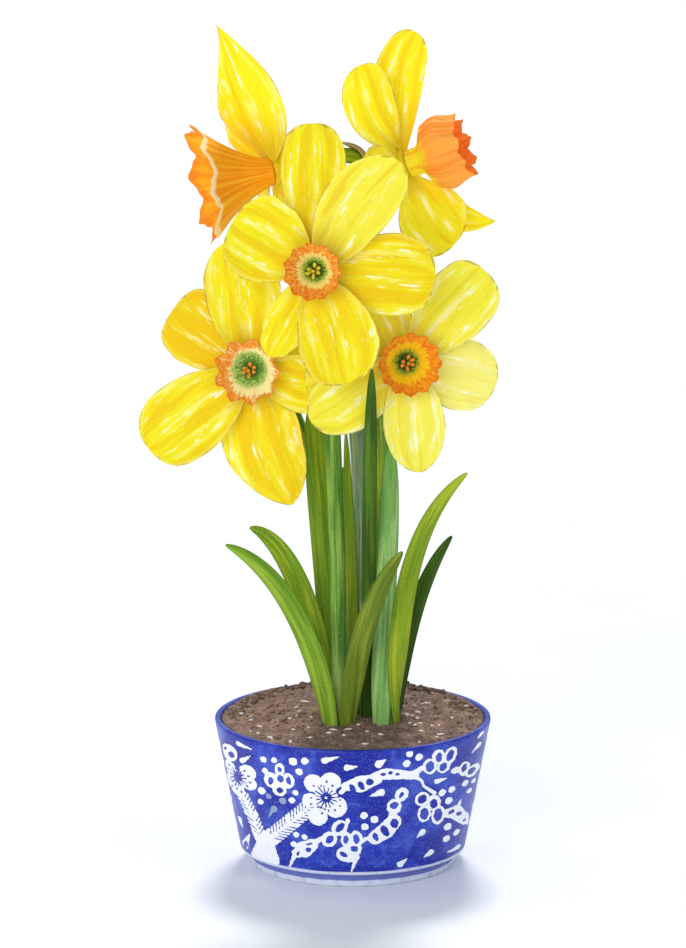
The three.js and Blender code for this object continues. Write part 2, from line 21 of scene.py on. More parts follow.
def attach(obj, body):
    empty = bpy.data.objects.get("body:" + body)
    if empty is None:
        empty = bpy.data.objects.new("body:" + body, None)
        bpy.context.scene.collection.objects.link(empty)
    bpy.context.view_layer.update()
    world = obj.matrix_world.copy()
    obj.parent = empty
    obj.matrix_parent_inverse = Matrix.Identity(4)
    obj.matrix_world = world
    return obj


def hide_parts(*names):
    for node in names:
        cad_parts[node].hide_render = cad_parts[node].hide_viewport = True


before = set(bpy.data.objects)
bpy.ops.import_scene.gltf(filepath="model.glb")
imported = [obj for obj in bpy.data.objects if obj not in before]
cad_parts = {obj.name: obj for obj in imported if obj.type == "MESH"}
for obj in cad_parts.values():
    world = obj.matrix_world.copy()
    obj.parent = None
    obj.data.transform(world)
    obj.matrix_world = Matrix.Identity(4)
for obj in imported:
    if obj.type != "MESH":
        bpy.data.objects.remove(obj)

LOG = logging.getLogger("potted_daffodil")
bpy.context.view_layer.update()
MM = 0.001
UP = Vector((0, 0, 1))
ACROSS = Vector((1, 0, 0))
Amount = Union["Wire", float]
Colour = tuple[float, float, float, float]
Shade = Union["Wire", Colour]
Triple = tuple[float, float, float]
Spot = tuple[float, float]


class Slot(Enum):
    """The record's material slots."""

    GLAZE = "glaze"
    SOIL = "soil"
    BULB_SKIN = "bulb_skin"
    STEM = "stem"
    LEAF = "leaf"
    SPATHE = "spathe"
    PETAL = "petal"
    CUP = "cup"
    STAMEN = "stamen"


def mix(first: float, second: float, share: float) -> float:
    """The value a share of the way from the first to the second; points mix too."""
    return first + (second - first) * share


def eased(value: float, low: float, high: float) -> float:
    """0 below low, 1 above high and a smooth step between them."""
    share = min(max((value - low) / (high - low), 0), 1)
    return share * share * (3 - 2 * share)


def turns(count: int) -> list[float]:
    """Angles all the way round, in radians."""
    return [2 * math.pi * i / count for i in range(count)]


def polar(angle: float, radius: float) -> Spot:
    """The x and y of a place by its angle from +X, in radians, and its distance from the middle."""
    return radius * math.cos(angle), radius * math.sin(angle)


def about(angle: float, radius: float = 1.0, z: float = 0.0) -> Vector:
    """The point at an angle from +X about the upright."""
    return Vector((*polar(angle, radius), z))


def from_front(angle: float, radius: float, z: float) -> Vector:
    """The point at an angle about the upright, counted from the front towards the right."""
    return Vector((radius * math.sin(angle), -radius * math.cos(angle), z))


def swung(first: Vector, second: Vector, angle: float) -> Vector:
    """The direction at an angle from the first direction towards the second."""
    return first * math.cos(angle) + second * math.sin(angle)


def heading(points: Sequence[Vector], i: int) -> Vector:
    """The direction in which a line of points runs at one of them."""
    return (points[min(i + 1, len(points) - 1)] - points[max(i - 1, 0)]).normalized()


def shown(name: str, data: bpy.types.ID) -> bpy.types.Object:
    """Puts a mesh, a lamp or a lens in the scene.

    Args:
        name: the new object's name.
        data: what it shows.

    Returns:
        The object.
    """
    made = bpy.data.objects.new(name, data)
    bpy.context.scene.collection.objects.link(made)
    return made


def tint(code: str) -> Colour:
    """The scene colour of a screen colour.

    Args:
        code: six hexadecimal digits, red first.

    Returns:
        Red, green, blue and alpha, with the first three linear.
    """
    parts = [int(code[i : i + 2], 16) / 255 for i in (0, 2, 4)]
    linear = [((part + 0.055) / 1.055) ** 2.4 if part > 0.04045 else part / 12.92 for part in parts]
    return (*linear, 1.0)


def tints(*codes: str) -> list[Colour]:
    """The scene colours of several screen colours."""
    return [tint(code) for code in codes]


@dataclass(frozen=True)
class Wire:
    """An output of a shader node that takes part in sums as a number does."""

    paint: "Paint"
    socket: bpy.types.NodeSocket

    def __add__(self, other: Amount) -> "Wire":
        """This plus another."""
        return self.paint.maths("ADD", self, other)

    def __radd__(self, other: Amount) -> "Wire":
        """Another plus this."""
        return self.paint.maths("ADD", other, self)

    def __sub__(self, other: Amount) -> "Wire":
        """This less another."""
        return self.paint.maths("SUBTRACT", self, other)

    def __rsub__(self, other: Amount) -> "Wire":
        """Another less this."""
        return self.paint.maths("SUBTRACT", other, self)

    def __mul__(self, other: Amount) -> "Wire":
        """This times another."""
        return self.paint.maths("MULTIPLY", self, other)

    def __rmul__(self, other: Amount) -> "Wire":
        """Another times this."""
        return self.paint.maths("MULTIPLY", other, self)

    def __abs__(self) -> "Wire":
        """This without its sign."""
        return self.paint.maths("ABSOLUTE", self)

    def sine(self) -> "Wire":
        """The sine of this, in radians."""
        return self.paint.maths("SINE", self)

    def also(self, output: int) -> "Wire":
        """Another output of the same node."""
        return Wire(self.paint, self.socket.node.outputs[output])

    def between(self, low: float, high: float) -> "Wire":
        """0 below low, 1 above high and a smooth step between them."""
        settings = {"interpolation_type": "SMOOTHSTEP"}
        return self.paint.node("ShaderNodeMapRange", settings, {0: self, 1: low, 2: high})


class Paint:
    """One material and the nodes that colour it."""

    def __init__(self, name: str, roughness: float, specular: float) -> None:
        """Starts a material with one plain shader.

        Args:
            name: the material's name.
            roughness: how matt it is all over.
            specular: how strongly it mirrors, where 0.5 is usual.
        """
        self.material = bpy.data.materials.new(name)
        self.material.use_nodes = True
        self.tree = self.material.node_tree
        self.shader = self.tree.nodes["Principled BSDF"]
        self.set("Roughness", roughness)
        self.set("Specular IOR Level", specular)

    def set(self, name: str, value: Union[float, Shade]) -> None:
        """Gives one of the shader's sockets a value or a link."""
        self.feed(self.shader.inputs[name], value)

    def feed(self, socket: bpy.types.NodeSocket, value: Union[Amount, Sequence[float]]) -> None:
        """Gives any socket a value or a link.

        Args:
            socket: the socket.
            value: a number, a colour or a vector, or the output to link.
        """
        if isinstance(value, Wire):
            self.tree.links.new(value.socket, socket)
        else:
            socket.default_value = value

    def node(self, kind: str, settings: dict, inputs: dict, output: int = 0) -> Wire:
        """Adds a node.

        Args:
            kind: the node's type.
            settings: its properties.
            inputs: values or links of its sockets, by number or name.
            output: the number of the output that is wanted.

        Returns:
            That output.
        """
        made = self.tree.nodes.new(kind)
        for key, value in settings.items():
            setattr(made, key, value)
        for key, value in inputs.items():
            self.feed(made.inputs[key], value)
        return Wire(self, made.outputs[output])

    def maths(self, operation: str, *values: Amount) -> Wire:
        """One sum on numbers."""
        return self.node("ShaderNodeMath", {"operation": operation}, dict(enumerate(values)))

    def blend(self, share: Amount, first: Shade, second: Shade) -> Wire:
        """Mixes two colours.

        Args:
            share: how much of the second shows, from 0 to 1.
            first: the colour below.
            second: the colour over it.

        Returns:
            The mixed colour.
        """
        settings = {"data_type": "RGBA", "clamp_factor": True}
        return self.node("ShaderNodeMix", settings, {0: share, 6: first, 7: second}, output=2)

    def painted(self, name: str) -> Wire:
        """The vector that a piece's corners hold under a name."""
        return self.node("ShaderNodeAttribute", {"attribute_name": name}, {}, output=1)

    def metres(self) -> Wire:
        """The place on a piece, in metres."""
        return self.node("ShaderNodeTexCoord", {}, {}, output=3)

    def parts(self, vector: Wire) -> tuple[Wire, Wire, Wire]:
        """The three numbers of a vector."""
        first = self.node("ShaderNodeSeparateXYZ", {}, {0: vector})
        return first, first.also(1), first.also(2)

    def stretched(self, vector: Wire, scales: Triple) -> Wire:
        """A vector with each of its numbers multiplied."""
        return self.node("ShaderNodeVectorMath", {"operation": "MULTIPLY"}, {0: vector, 1: scales})

    def noise(self, vector: Wire, scales: Triple, detail: float = 3, wander: float = 0) -> Wire:
        """Cloudy noise.

        Args:
            vector: where it is read.
            scales: how fine it is along each axis.
            detail: how many finer layers it has.
            wander: how far it is pulled about by itself.

        Returns:
            A value around one half.
        """
        inputs = {0: self.stretched(vector, scales), "Scale": 1, "Detail": detail, "Distortion": wander}
        return self.node("ShaderNodeTexNoise", {}, inputs)

    def relief(self, height: Wire, depth: float, strength: float = 1) -> None:
        """Embosses the surface.

        Args:
            height: how high each place is, from 0 to 1.
            depth: what a height of 1 is, in millimetres.
            strength: how much of it shows.
        """
        inputs = {"Strength": strength, "Distance": depth * MM, "Height": height}
        self.set("Normal", self.node("ShaderNodeBump", {}, inputs))

    def lit(self, colour: Wire, glow: float) -> None:
        """Colours the surface, which also gives off a little light of its colour.

        Args:
            colour: the colour.
            glow: how strong that light is.
        """
        self.set("Base Color", colour)
        self.set("Emission Color", colour)
        self.set("Emission Strength", glow)


@dataclass(frozen=True)
class Finish:
    """A finish: its name, its slot in the record, its roughness and gloss, and the way that it is painted."""

    SHINE: ClassVar[Spot]

    name: str
    slot: Slot

    def coat(self, paint: Paint) -> None:
        """Mixes the colours and the relief."""
        raise NotImplementedError


@functools.cache
def material_of(finish: Finish) -> bpy.types.Material:
    """The one material of a finish, made when it is first asked for.

    Args:
        finish: the finish.

    Returns:
        Its material.
    """
    paint = Paint(finish.name, *finish.SHINE)
    finish.coat(paint)
    return paint.material


@dataclass(frozen=True)
class CobaltGlaze(Finish):
    """Cobalt under a clear glaze, mottled as a wash is, with lines round the foot."""

    SHINE = (0.34, 0.3)

    deep: str = "15219A"
    mid: str = "2C40B8"
    light: str = "5068CC"
    line: str = "3E4CB0"
    bare: str = "DCE1F0"
    foot_top: float = 7.6
    line_low: float = 2.8
    line_high: float = 5.7
    line_edge: float = 0.25
    pool_scale: Triple = (0.07, 0.075, 0.01)
    blot_scale: Triple = (0.3, 0.3, 0.1)
    speck_scale: Triple = (1.3, 1.3, 0.2)
    waver_scale: Triple = (0.12, 0.3, 1)
    waver: float = 0.6

    def coat(self, paint: Paint) -> None:
        """Mixes the colours and the relief.

        Args:
            paint: the material.
        """
        deep, mid, light, line, bare = tints(self.deep, self.mid, self.light, self.line, self.bare)
        grain = paint.painted("grain")
        pools = paint.noise(grain, self.pool_scale, detail=5, wander=0.3)
        blots = paint.noise(grain, self.blot_scale, detail=4, wander=0.2)
        specks = paint.noise(grain, self.speck_scale, detail=4)
        wash = paint.blend(pools.between(0.4, 0.6), deep, mid)
        wash = paint.blend((pools + blots * 0.7).between(0.84, 1.08) * 0.7, wash, light)
        wash = paint.blend(specks.between(0.5, 0.68) * 0.5, wash, light)
        wash = paint.blend(0.45 - specks.between(0.32, 0.5) * 0.45, wash, deep)
        height = paint.parts(grain)[1] + (paint.noise(grain, self.waver_scale) - 0.5) * self.waver
        edge = self.line_edge
        in_line = height.between(self.line_low - edge, self.line_low + edge)
        in_line = in_line * (1 - height.between(self.line_high - edge, self.line_high + edge))
        lined = in_line * 0.85
        ground = paint.blend(blots.between(0.5, 0.7) * 0.3, bare, line)
        foot = paint.blend(lined, ground, line)
        over_foot = height.between(self.foot_top - edge, self.foot_top + edge)
        paint.set("Base Color", paint.blend(over_foot, foot, wash))
        paint.relief(pools + specks * 0.2, 0.05, 0.4)


@dataclass(frozen=True)
class BrushedWhite(Finish):
    """The light paint of the pattern, a little thin in places so that the ground shows through."""

    SHINE = (0.32, 0.3)

    light: str = "FBFBFF"
    thin: str = "C9D2F0"
    thin_scale: Triple = (0.5, 0.5, 1)

    def coat(self, paint: Paint) -> None:
        """Mixes the colours and the relief.

        Args:
            paint: the material.
        """
        thin = paint.noise(paint.painted("grain"), self.thin_scale, detail=3).between(0.56, 0.8)
        paint.set("Base Color", paint.blend(thin * 0.6, *tints(self.light, self.thin)))
        paint.relief(thin, 0.02, 0.2)


@dataclass(frozen=True)
class Compost(Finish):
    """Moist potting soil with darker, redder and paler crumbs, darker towards the back."""

    SHINE = (0.92, 0.15)

    mid: str = "7A6256"
    dark: str = "46382F"
    warm: str = "A08272"
    pale: str = "B59C92"
    clod_scale: float = 0.16
    crumb_scale: float = 0.9
    back_from: float = 26.0
    back_to: float = 54.0

    def coat(self, paint: Paint) -> None:
        """Mixes the colours and the relief.

        Args:
            paint: the material.
        """
        mid, dark, warm, pale = tints(self.mid, self.dark, self.warm, self.pale)
        grain = paint.painted("grain")
        clods = paint.noise(grain, (self.clod_scale,) * 3, detail=4)
        crumbs = paint.noise(grain, (self.crumb_scale,) * 3, detail=5)
        base = paint.blend(clods.between(0.38, 0.68), mid, warm)
        base = paint.blend(crumbs.between(0.5, 0.7) * 0.75, base, dark)
        base = paint.blend(0.4 - crumbs.between(0.3, 0.46) * 0.4, base, pale)
        far = paint.parts(grain)[1].between(self.back_from, self.back_to)
        paint.set("Base Color", paint.blend(far * 0.55, base, dark))
        paint.relief(crumbs, 0.5, 0.8)


@dataclass(frozen=True)
class Grit(Finish):
    """Pale grains in the soil."""

    SHINE = (0.85, 0.2)

    light: str = "F6EFEA"
    pink: str = "E8CFC4"
    patch_scale: float = 0.8

    def coat(self, paint: Paint) -> None:
        """Mixes the colours and the relief.

        Args:
            paint: the material.
        """
        patches = paint.noise(paint.painted("grain"), (self.patch_scale,) * 3, detail=2)
        paint.set("Base Color", paint.blend(patches.between(0.4, 0.65), *tints(self.light, self.pink)))
        paint.relief(patches, 0.2, 0.5)


@dataclass(frozen=True)
class DrySkin(Finish):
    """Thin dry skin with fine fibres, on sheaths and bulbs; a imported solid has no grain, so place is used."""

    SHINE = (0.75, 0.2)

    light: str = "CDB284"
    dark: str = "8A6136"
    fibre_scale: Triple = (0.05, 0.9, 1)
    on_solid: bool = False
    patch_scale: float = 0.08

    def coat(self, paint: Paint) -> None:
        """Mixes the colours and the relief.

        Args:
            paint: the material.
        """
        light, dark = tints(self.light, self.dark)
        grain = paint.stretched(paint.metres(), (1 / MM,) * 3) if self.on_solid else paint.painted("grain")
        fibre = paint.noise(grain, self.fibre_scale, detail=4)
        patch = paint.noise(grain, (self.patch_scale,) * 3, detail=2)
        base = paint.blend(fibre.between(0.35, 0.7), light, dark)
        paint.set("Base Color", paint.blend(patch.between(0.5, 0.7) * 0.5, base, dark))
        paint.relief(fibre, 0.25, 0.8)


class Green(Enum):
    """The greens of the shoots, each as its light, middle and dark shade."""

    OLIVE = ("AAB82C", "7A9F20", "527C18")
    GRASS = ("9EBC3C", "6B9A24", "40701A")
    BRONZE = ("8A9A30", "60781E", "3E5814")
    MOSS = ("94AE28", "6A901E", "426616")
    MID = ("93BE48", "559030", "326622")
    SAGE = ("96BA4E", "5A8A30", "386622")
    LIGHT = ("AFD07E", "6EA84C", "468038")
    GREY = ("BCCDAE", "86A286", "5C8468")
    DARK = ("56781E", "345412", "1C3A10")


@dataclass(frozen=True)
class Greenery(Finish):
    """A stem's or leaf's skin: long streaks along it, painted shade along its edges and a pale foot."""

    SHINE = (0.6, 0.12)

    green: Green = Green.MID
    edge: float = 0.5
    root: str = "C9D48A"
    wash_scale: Triple = (0.02, 0.22, 1)
    streak_scale: Triple = (0.025, 0.7, 1)
    speck_scale: Triple = (1.1, 1.4, 1)
    ribs: float = 6.5

    def coat(self, paint: Paint) -> None:
        """Mixes the colours and the relief.

        Args:
            paint: the material.
        """
        light, middle, dark, root = tints(*self.green.value, self.root)
        along, across, side = paint.parts(paint.painted("place"))
        grain = paint.painted("grain")
        washes = paint.noise(grain, self.wash_scale, detail=4, wander=0.3)
        streaks = paint.noise(grain, self.streak_scale, detail=4)
        specks = paint.noise(grain, self.speck_scale, detail=3)
        base = paint.blend(washes.between(0.42, 0.6), middle, light)
        base = paint.blend(streaks.between(0.46, 0.62) * 0.75, base, dark)
        # Painted shade darkens both edges, as strongly as the edge field says.
        rim = (abs(across) + (washes - 0.5) * 0.5).between(0.62, 1.0) * self.edge
        base = paint.blend(rim, base, dark)
        base = paint.blend(specks.between(0.5, 0.72) * 0.35, base, light)
        base = paint.blend(0.3 - specks.between(0.3, 0.48) * 0.3, base, dark)
        base = paint.blend((1 - side) * 0.2, base, light)
        foot = 1 - along.between(0.02, 0.16)
        paint.set("Base Color", paint.blend(foot * 0.45, base, root))
        ribs = (paint.parts(grain)[1] * self.ribs).sine() * 0.5 + streaks
        paint.relief(ribs, 0.12, 0.5)


class Yellow(Enum):
    """The yellows of the petals: body, gold streak, painted shade and the pale of painted highlight streaks and
    paler places.
    """

    GOLDEN = ("EEE11C", "E8BC0C", "B8981C", "F8F07C")
    LEMON = ("EFE53C", "E5CC22", "B4A236", "F8F4AE")


@dataclass(frozen=True)
class PetalSkin(Finish):
    """A petal: gold and pale pleats from root to tip, partly painted shade and highlight, a shaded root and a
    thin, broken shaded edge line.
    """

    SHINE = (0.7, 0.08)

    yellow: Yellow = Yellow.GOLDEN
    glow: float = 0.07
    bare: str = "FFFCE4"
    broad_scale: Triple = (0.03, 0.12, 1)
    streak_scale: Triple = (0.026, 0.34, 3)
    fine_scale: Triple = (0.05, 1.1, 1)
    break_scale: Triple = (0.11, 0.3, 5)
    speck_scale: Triple = (1.3, 1.6, 1)

    def coat(self, paint: Paint) -> None:
        """Mixes the colours and the relief.

        Args:
            paint: the material.
        """
        body, gold, shade, pale, white = tints(*self.yellow.value, self.bare)
        place, grain = paint.painted("place"), paint.painted("grain")
        along, across, side = paint.parts(place)
        tone, fold, _ = paint.parts(paint.painted("tone"))
        broad = paint.noise(grain, self.broad_scale, detail=4, wander=0.6)
        streak = paint.noise(grain, self.streak_scale, detail=4, wander=0.3)
        fine = paint.noise(grain, self.fine_scale, detail=3)
        breaks = paint.noise(grain, self.break_scale, detail=3)
        specks = paint.noise(grain, self.speck_scale, detail=4)
        middle = along.between(0.06, 0.25) * (1 - along.between(0.78, 0.98))
        # Gold streaks: partly the petal's own gold, partly painted shade that follows the pleats.
        golds = (fold * 0.16 + streak + broad * 0.5 + tone * 0.16).between(0.79, 1.0)
        body = paint.blend((tone + (broad - 0.5) * 0.8).between(0.45, 1.1) * 0.8, body, gold)
        body = paint.blend((0 - tone).between(0, 1), body, pale)
        base = paint.blend(golds * 0.6, body, gold)
        base = paint.blend(fine.between(0.54, 0.72) * (0.15 + tone * 0.25), base, gold)
        # Pale streaks in the middle of the petal are painted highlights.
        lights = (breaks * 0.7 - streak - fold * 0.14).between(-0.08, 0.08) * middle
        base = paint.blend(lights * 0.65, base, pale)
        # Small white flecks there are painted highlights too.
        bare = (fine + breaks - fold * 0.1).between(1.21, 1.28) * middle
        base = paint.blend(bare * 0.8, base, white)
        # Painted shade darkens the root, and a little the back face.
        deep = (1 - (along + (streak - 0.5) * 0.5).between(0.02, 0.34)) * 0.6
        base = paint.blend(deep + (1 - side) * 0.06, base, shade)
        rim = abs(across) + along.between(0.9, 1.0) * 0.4 + (breaks - 0.5) * 0.12
        base = paint.blend(rim.between(0.86, 0.94) * 0.3, base, pale)
        # A thin, broken line of painted shade runs along the edge.
        base = paint.blend(rim.between(0.965, 0.99) * breaks.between(0.42, 0.56) * 0.75, base, shade)
        base = paint.blend(specks.between(0.52, 0.7) * 0.3, base, gold)
        base = paint.blend(0.25 - specks.between(0.3, 0.46) * 0.25, base, pale)
        paint.lit(base, self.glow)
        paint.relief(fine + specks * 0.5, 0.25, 0.6)


@dataclass(frozen=True)
class CupSkin(Finish):
    """A cup: a mouth of ragged brush strokes over a paler wall, round a green throat."""

    SHINE = (0.65, 0.1)

    mouth: str = "F5A234"
    rim: str = "DE6818"
    wall: str = "F5E784"
    throat: str = "86A83A"
    deep: str = "3A5E20"
    outside: str = "F0A81E"
    mouth_from: float = 0.3
    teeth: float = 0.3
    throat_to: float = -0.02
    heavy: Spot = (0.0, 0.0)
    wedges: float = 11.0
    dark: float = 0.65
    glow: float = 0.1
    outer_line: float = 0.0
    outer_from: float = 0.25
    line: str = "FCE9B4"
    dab_scale: Triple = (8, 8, 5)
    grain_scale: Triple = (1.1, 1.1, 0.5)

    def coat(self, paint: Paint) -> None:
        """Mixes the colours and the relief.

        Args:
            paint: the material.
        """
        mouth_tint, rim_tint, wall_tint, throat_tint = tints(self.mouth, self.rim, self.wall, self.throat)
        deep_tint, outside_tint, line_tint = tints(self.deep, self.outside, self.line)
        mouth, throat = self.mouth_from, self.throat_to
        along, _, side = paint.parts(paint.painted("place"))
        around = paint.painted("around")
        x, y, _ = paint.parts(around)
        rays = paint.noise(around, (self.wedges, self.wedges, 0.5), detail=4)
        dabs = paint.noise(around, self.dab_scale, detail=4)
        grains = paint.noise(paint.painted("grain"), self.grain_scale, detail=4)
        start = along + (rays - 0.5) * self.teeth * 3 + x * self.heavy[0] + y * self.heavy[1]
        ring = paint.blend(dabs.between(0.44, 0.62) * self.dark, mouth_tint, rim_tint)
        ring = paint.blend((rays - dabs * 0.5).between(0.3, 0.42) * 0.4, ring, wall_tint)
        wall = paint.blend(rays.between(0.48, 0.66) * 0.3, wall_tint, mouth_tint)
        wall = paint.blend(grains.between(0.56, 0.75) * 0.3, wall, throat_tint)
        base = paint.blend(start.between(mouth - 0.05, mouth + 0.06), wall, ring)
        edge = (along + (dabs - 0.5) * 0.3).between(0.86, 0.98)
        base = paint.blend(edge * self.dark, base, rim_tint)
        inner = along + (rays - 0.5) * 0.35 + (grains - 0.5) * 0.2
        base = paint.blend(1 - inner.between(throat - 0.06, throat + 0.16), base, throat_tint)
        # The deepest part of the throat is darkened with painted shade.
        pit = 1 - (inner + (grains - 0.5) * 1.1).between(throat - 0.3, throat - 0.05)
        base = paint.blend(pit * 0.85, base, deep_tint)
        outer = (along + (rays - 0.5) * 0.5).between(self.outer_from, self.outer_from + 0.2)
        back = paint.blend(outer, outside_tint, mouth_tint)
        back = paint.blend(rays.between(0.5, 0.62) * self.dark, back, rim_tint)
        back = paint.blend(grains.between(0.55, 0.75) * 0.35, back, outside_tint)
        if self.outer_line:
            back = paint.blend((1 - rays).between(0.5, 0.6) * 0.5, back, wall_tint)
            lip = (along + (dabs - 0.5) * 0.08).between(0.9, 0.94)
            back = paint.blend(lip * self.outer_line, back, line_tint)
        paint.lit(paint.blend(side, back, base), self.glow)
        paint.relief(rays + grains * 0.4, 0.5, 0.6)


@dataclass(frozen=True)
class Pollen(Finish):
    """Stamens: green threads that end in grainy anthers."""

    SHINE = (0.8, 0.15)

    anther: str = "F0DC3E"
    shade: str = "C7A012"
    thread: str = "5E8A2E"
    grain_scale: float = 2.2

    def coat(self, paint: Paint) -> None:
        """Mixes the colours and the relief.

        Args:
            paint: the material.
        """
        along, _, _ = paint.parts(paint.painted("place"))
        grains = paint.noise(paint.painted("grain"), (self.grain_scale,) * 3, detail=3)
        anther = paint.blend(grains.between(0.45, 0.7) * 0.7, *tints(self.anther, self.shade))
        paint.set("Base Color", paint.blend(along.between(0.55, 0.75), tint(self.thread), anther))
        paint.relief(grains, 0.3, 0.9)


@dataclass(frozen=True)
class PaleFloor(Finish):
    """The plain floor."""

    SHINE = (0.9, 0.05)

    light: str = "FDFDFE"
    dull: str = "F4F5F8"
    cloud_scale: float = 9

    def coat(self, paint: Paint) -> None:
        """Mixes the colours and the relief.

        Args:
            paint: the material.
        """
        clouds = paint.noise(paint.metres(), (self.cloud_scale,) * 3, detail=5)
        paint.set("Base Color", paint.blend(clouds, *tints(self.light, self.dull)))


@dataclass(frozen=True)
class Corner:
    """A point of a surface, with the numbers that its finish is painted by."""

    at: Vector
    place: Triple = (0.0, 0.0, 0.0)
    grain: Triple = (0.0, 0.0, 0.0)
    tone: Triple = (0.0, 0.0, 0.0)


Pair = tuple[Corner, Corner]
Sheet = list[list[Corner]]


@dataclass
class Shell:
    """Corners and faces of one piece."""

    corners: list[Corner] = field(default_factory=list)
    faces: list[tuple[int, ...]] = field(default_factory=list)

    def add(self, corners: Iterable[Corner]) -> int:
        """Adds corners.

        Args:
            corners: the corners.

        Returns:
            The number of the first of them.
        """
        first = len(self.corners)
        self.corners.extend(corners)
        return first

    def band(self, low: int, high: int, columns: int, closed: bool = True) -> None:
        """Adds the faces between two rows of corners.

        Args:
            low: the number of one row's first corner.
            high: the number of the other row's first corner.
            columns: how many corners each row has.
            closed: whether the last column also meets the first.
        """
        for c in range(columns if closed else columns - 1):
            d = (c + 1) % columns
            self.faces.append((low + c, low + d, high + d, high + c))

    def fan(self, middle: Corner, ring: int, columns: int) -> None:
        """Closes a ring of corners to its middle.

        Args:
            middle: the corner in the middle.
            ring: the number of the ring's first corner.
            columns: how many corners the ring has.
        """
        hub = self.add([middle])
        self.faces.extend((hub, ring + c, ring + (c + 1) % columns) for c in range(columns))

    def grid(self, rows: Sheet, closed: bool = False) -> int:
        """Adds a grid of corners with a face between each four.

        Args:
            rows: the corners, all rows of one length.
            closed: whether the last column also meets the first.

        Returns:
            The number of its first corner.
        """
        columns = len(rows[0])
        first = self.add(corner for row in rows for corner in row)
        for low in range(first, first + (len(rows) - 1) * columns, columns):
            self.band(low, low + columns, columns, closed)
        return first

    def capped(self, rings: Sheet) -> "Shell":
        """Adds a closed body through rings of corners, each end closed to its middle.

        Args:
            rings: the rings, all of one length.

        Returns:
            This shell.
        """
        columns = len(rings[0])
        first = self.grid(rings, closed=True)
        for ring, start in ((rings[0], first), (rings[-1], first + (len(rings) - 1) * columns)):
            at = sum((corner.at for corner in ring), Vector()) / columns
            self.fan(Corner(at, ring[0].place, ring[0].grain, ring[0].tone), start, columns)
        return self

    def walled(self, rows: list[list[Pair]]) -> "Shell":
        """Adds a blade of two faces, closed along its edges.

        Args:
            rows: the pairs of front and back corners, all rows of one length.

        Returns:
            This shell.
        """
        a, b = (self.grid([[pair[face] for pair in row] for row in rows]) for face in (0, 1))
        columns = len(rows[0])
        for c in range(columns - 1):
            for low in (c, (len(rows) - 1) * columns + c):
                self.faces.append((a + low, a + low + 1, b + low + 1, b + low))
        for r in range(len(rows) - 1):
            for low in (r * columns, (r + 1) * columns - 1):
                self.faces.append((a + low, a + low + columns, b + low + columns, b + low))
        return self

    def moved(self, turn: Callable[[Vector], Vector]) -> "Shell":
        """The same shell with its points taken elsewhere."""
        corners = [Corner(turn(c.at), c.place, c.grain, c.tone) for c in self.corners]
        return Shell(corners, list(self.faces))

    def join(self, other: "Shell") -> None:
        """Adds another shell to this one."""
        first = self.add(other.corners)
        self.faces.extend(tuple(first + i for i in face) for face in other.faces)

    def piece(
        self, name: str, finish: Finish, *nodes: str, around: Optional[Callable[[Corner], Triple]] = None,
    ) -> None:
        """Makes the mesh, hangs it under the root body and hides the solids that it stands for.

        Args:
            name: the piece's name.
            finish: how it is painted.
            nodes: the solids that it stands for.
            around: gives each corner one more painted vector, if the finish reads it.
        """
        mesh = bpy.data.meshes.new(name)
        mesh.from_pydata([corner.at * MM for corner in self.corners], [], self.faces)
        whole = bmesh.new()
        whole.from_mesh(mesh)
        bmesh.ops.recalc_face_normals(whole, faces=whole.faces)
        whole.to_mesh(mesh)
        whole.free()
        painted = {key: [getattr(c, key) for c in self.corners] for key in ("place", "grain", "tone")}
        if around:
            painted["around"] = [around(c) for c in self.corners]
        for key, values in painted.items():
            layer = mesh.attributes.new(key, "FLOAT_VECTOR", "POINT")
            layer.data.foreach_set("vector", np.array(values, np.float32).ravel())
        mesh.polygons.foreach_set("use_smooth", [True] * len(mesh.polygons))
        mesh.materials.append(material_of(finish))
        piece = shown(name, mesh)
        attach(piece, "root")
        if nodes:
            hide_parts(*nodes)
        LOG.info("%s: %d corners, %d faces", name, len(mesh.vertices), len(mesh.polygons))


@dataclass(frozen=True)
class Bezier:
    """A curve by its control points, three or four."""

    points: tuple[Vector, ...]

    def at(self, share: float) -> Vector:
        """The point a share of the way along.

        Args:
            share: the share, from 0 to 1.

        Returns:
            The point.
        """
        points = list(self.points)
        while len(points) > 1:
            points = [mix(a, b, share) for a, b in zip(points, points[1:])]
        return points[0]

    def ahead(self, share: float) -> Vector:
        """The direction of travel there."""
        step = 1e-3
        return (self.at(min(share + step, 1)) - self.at(max(share - step, 0))).normalized()


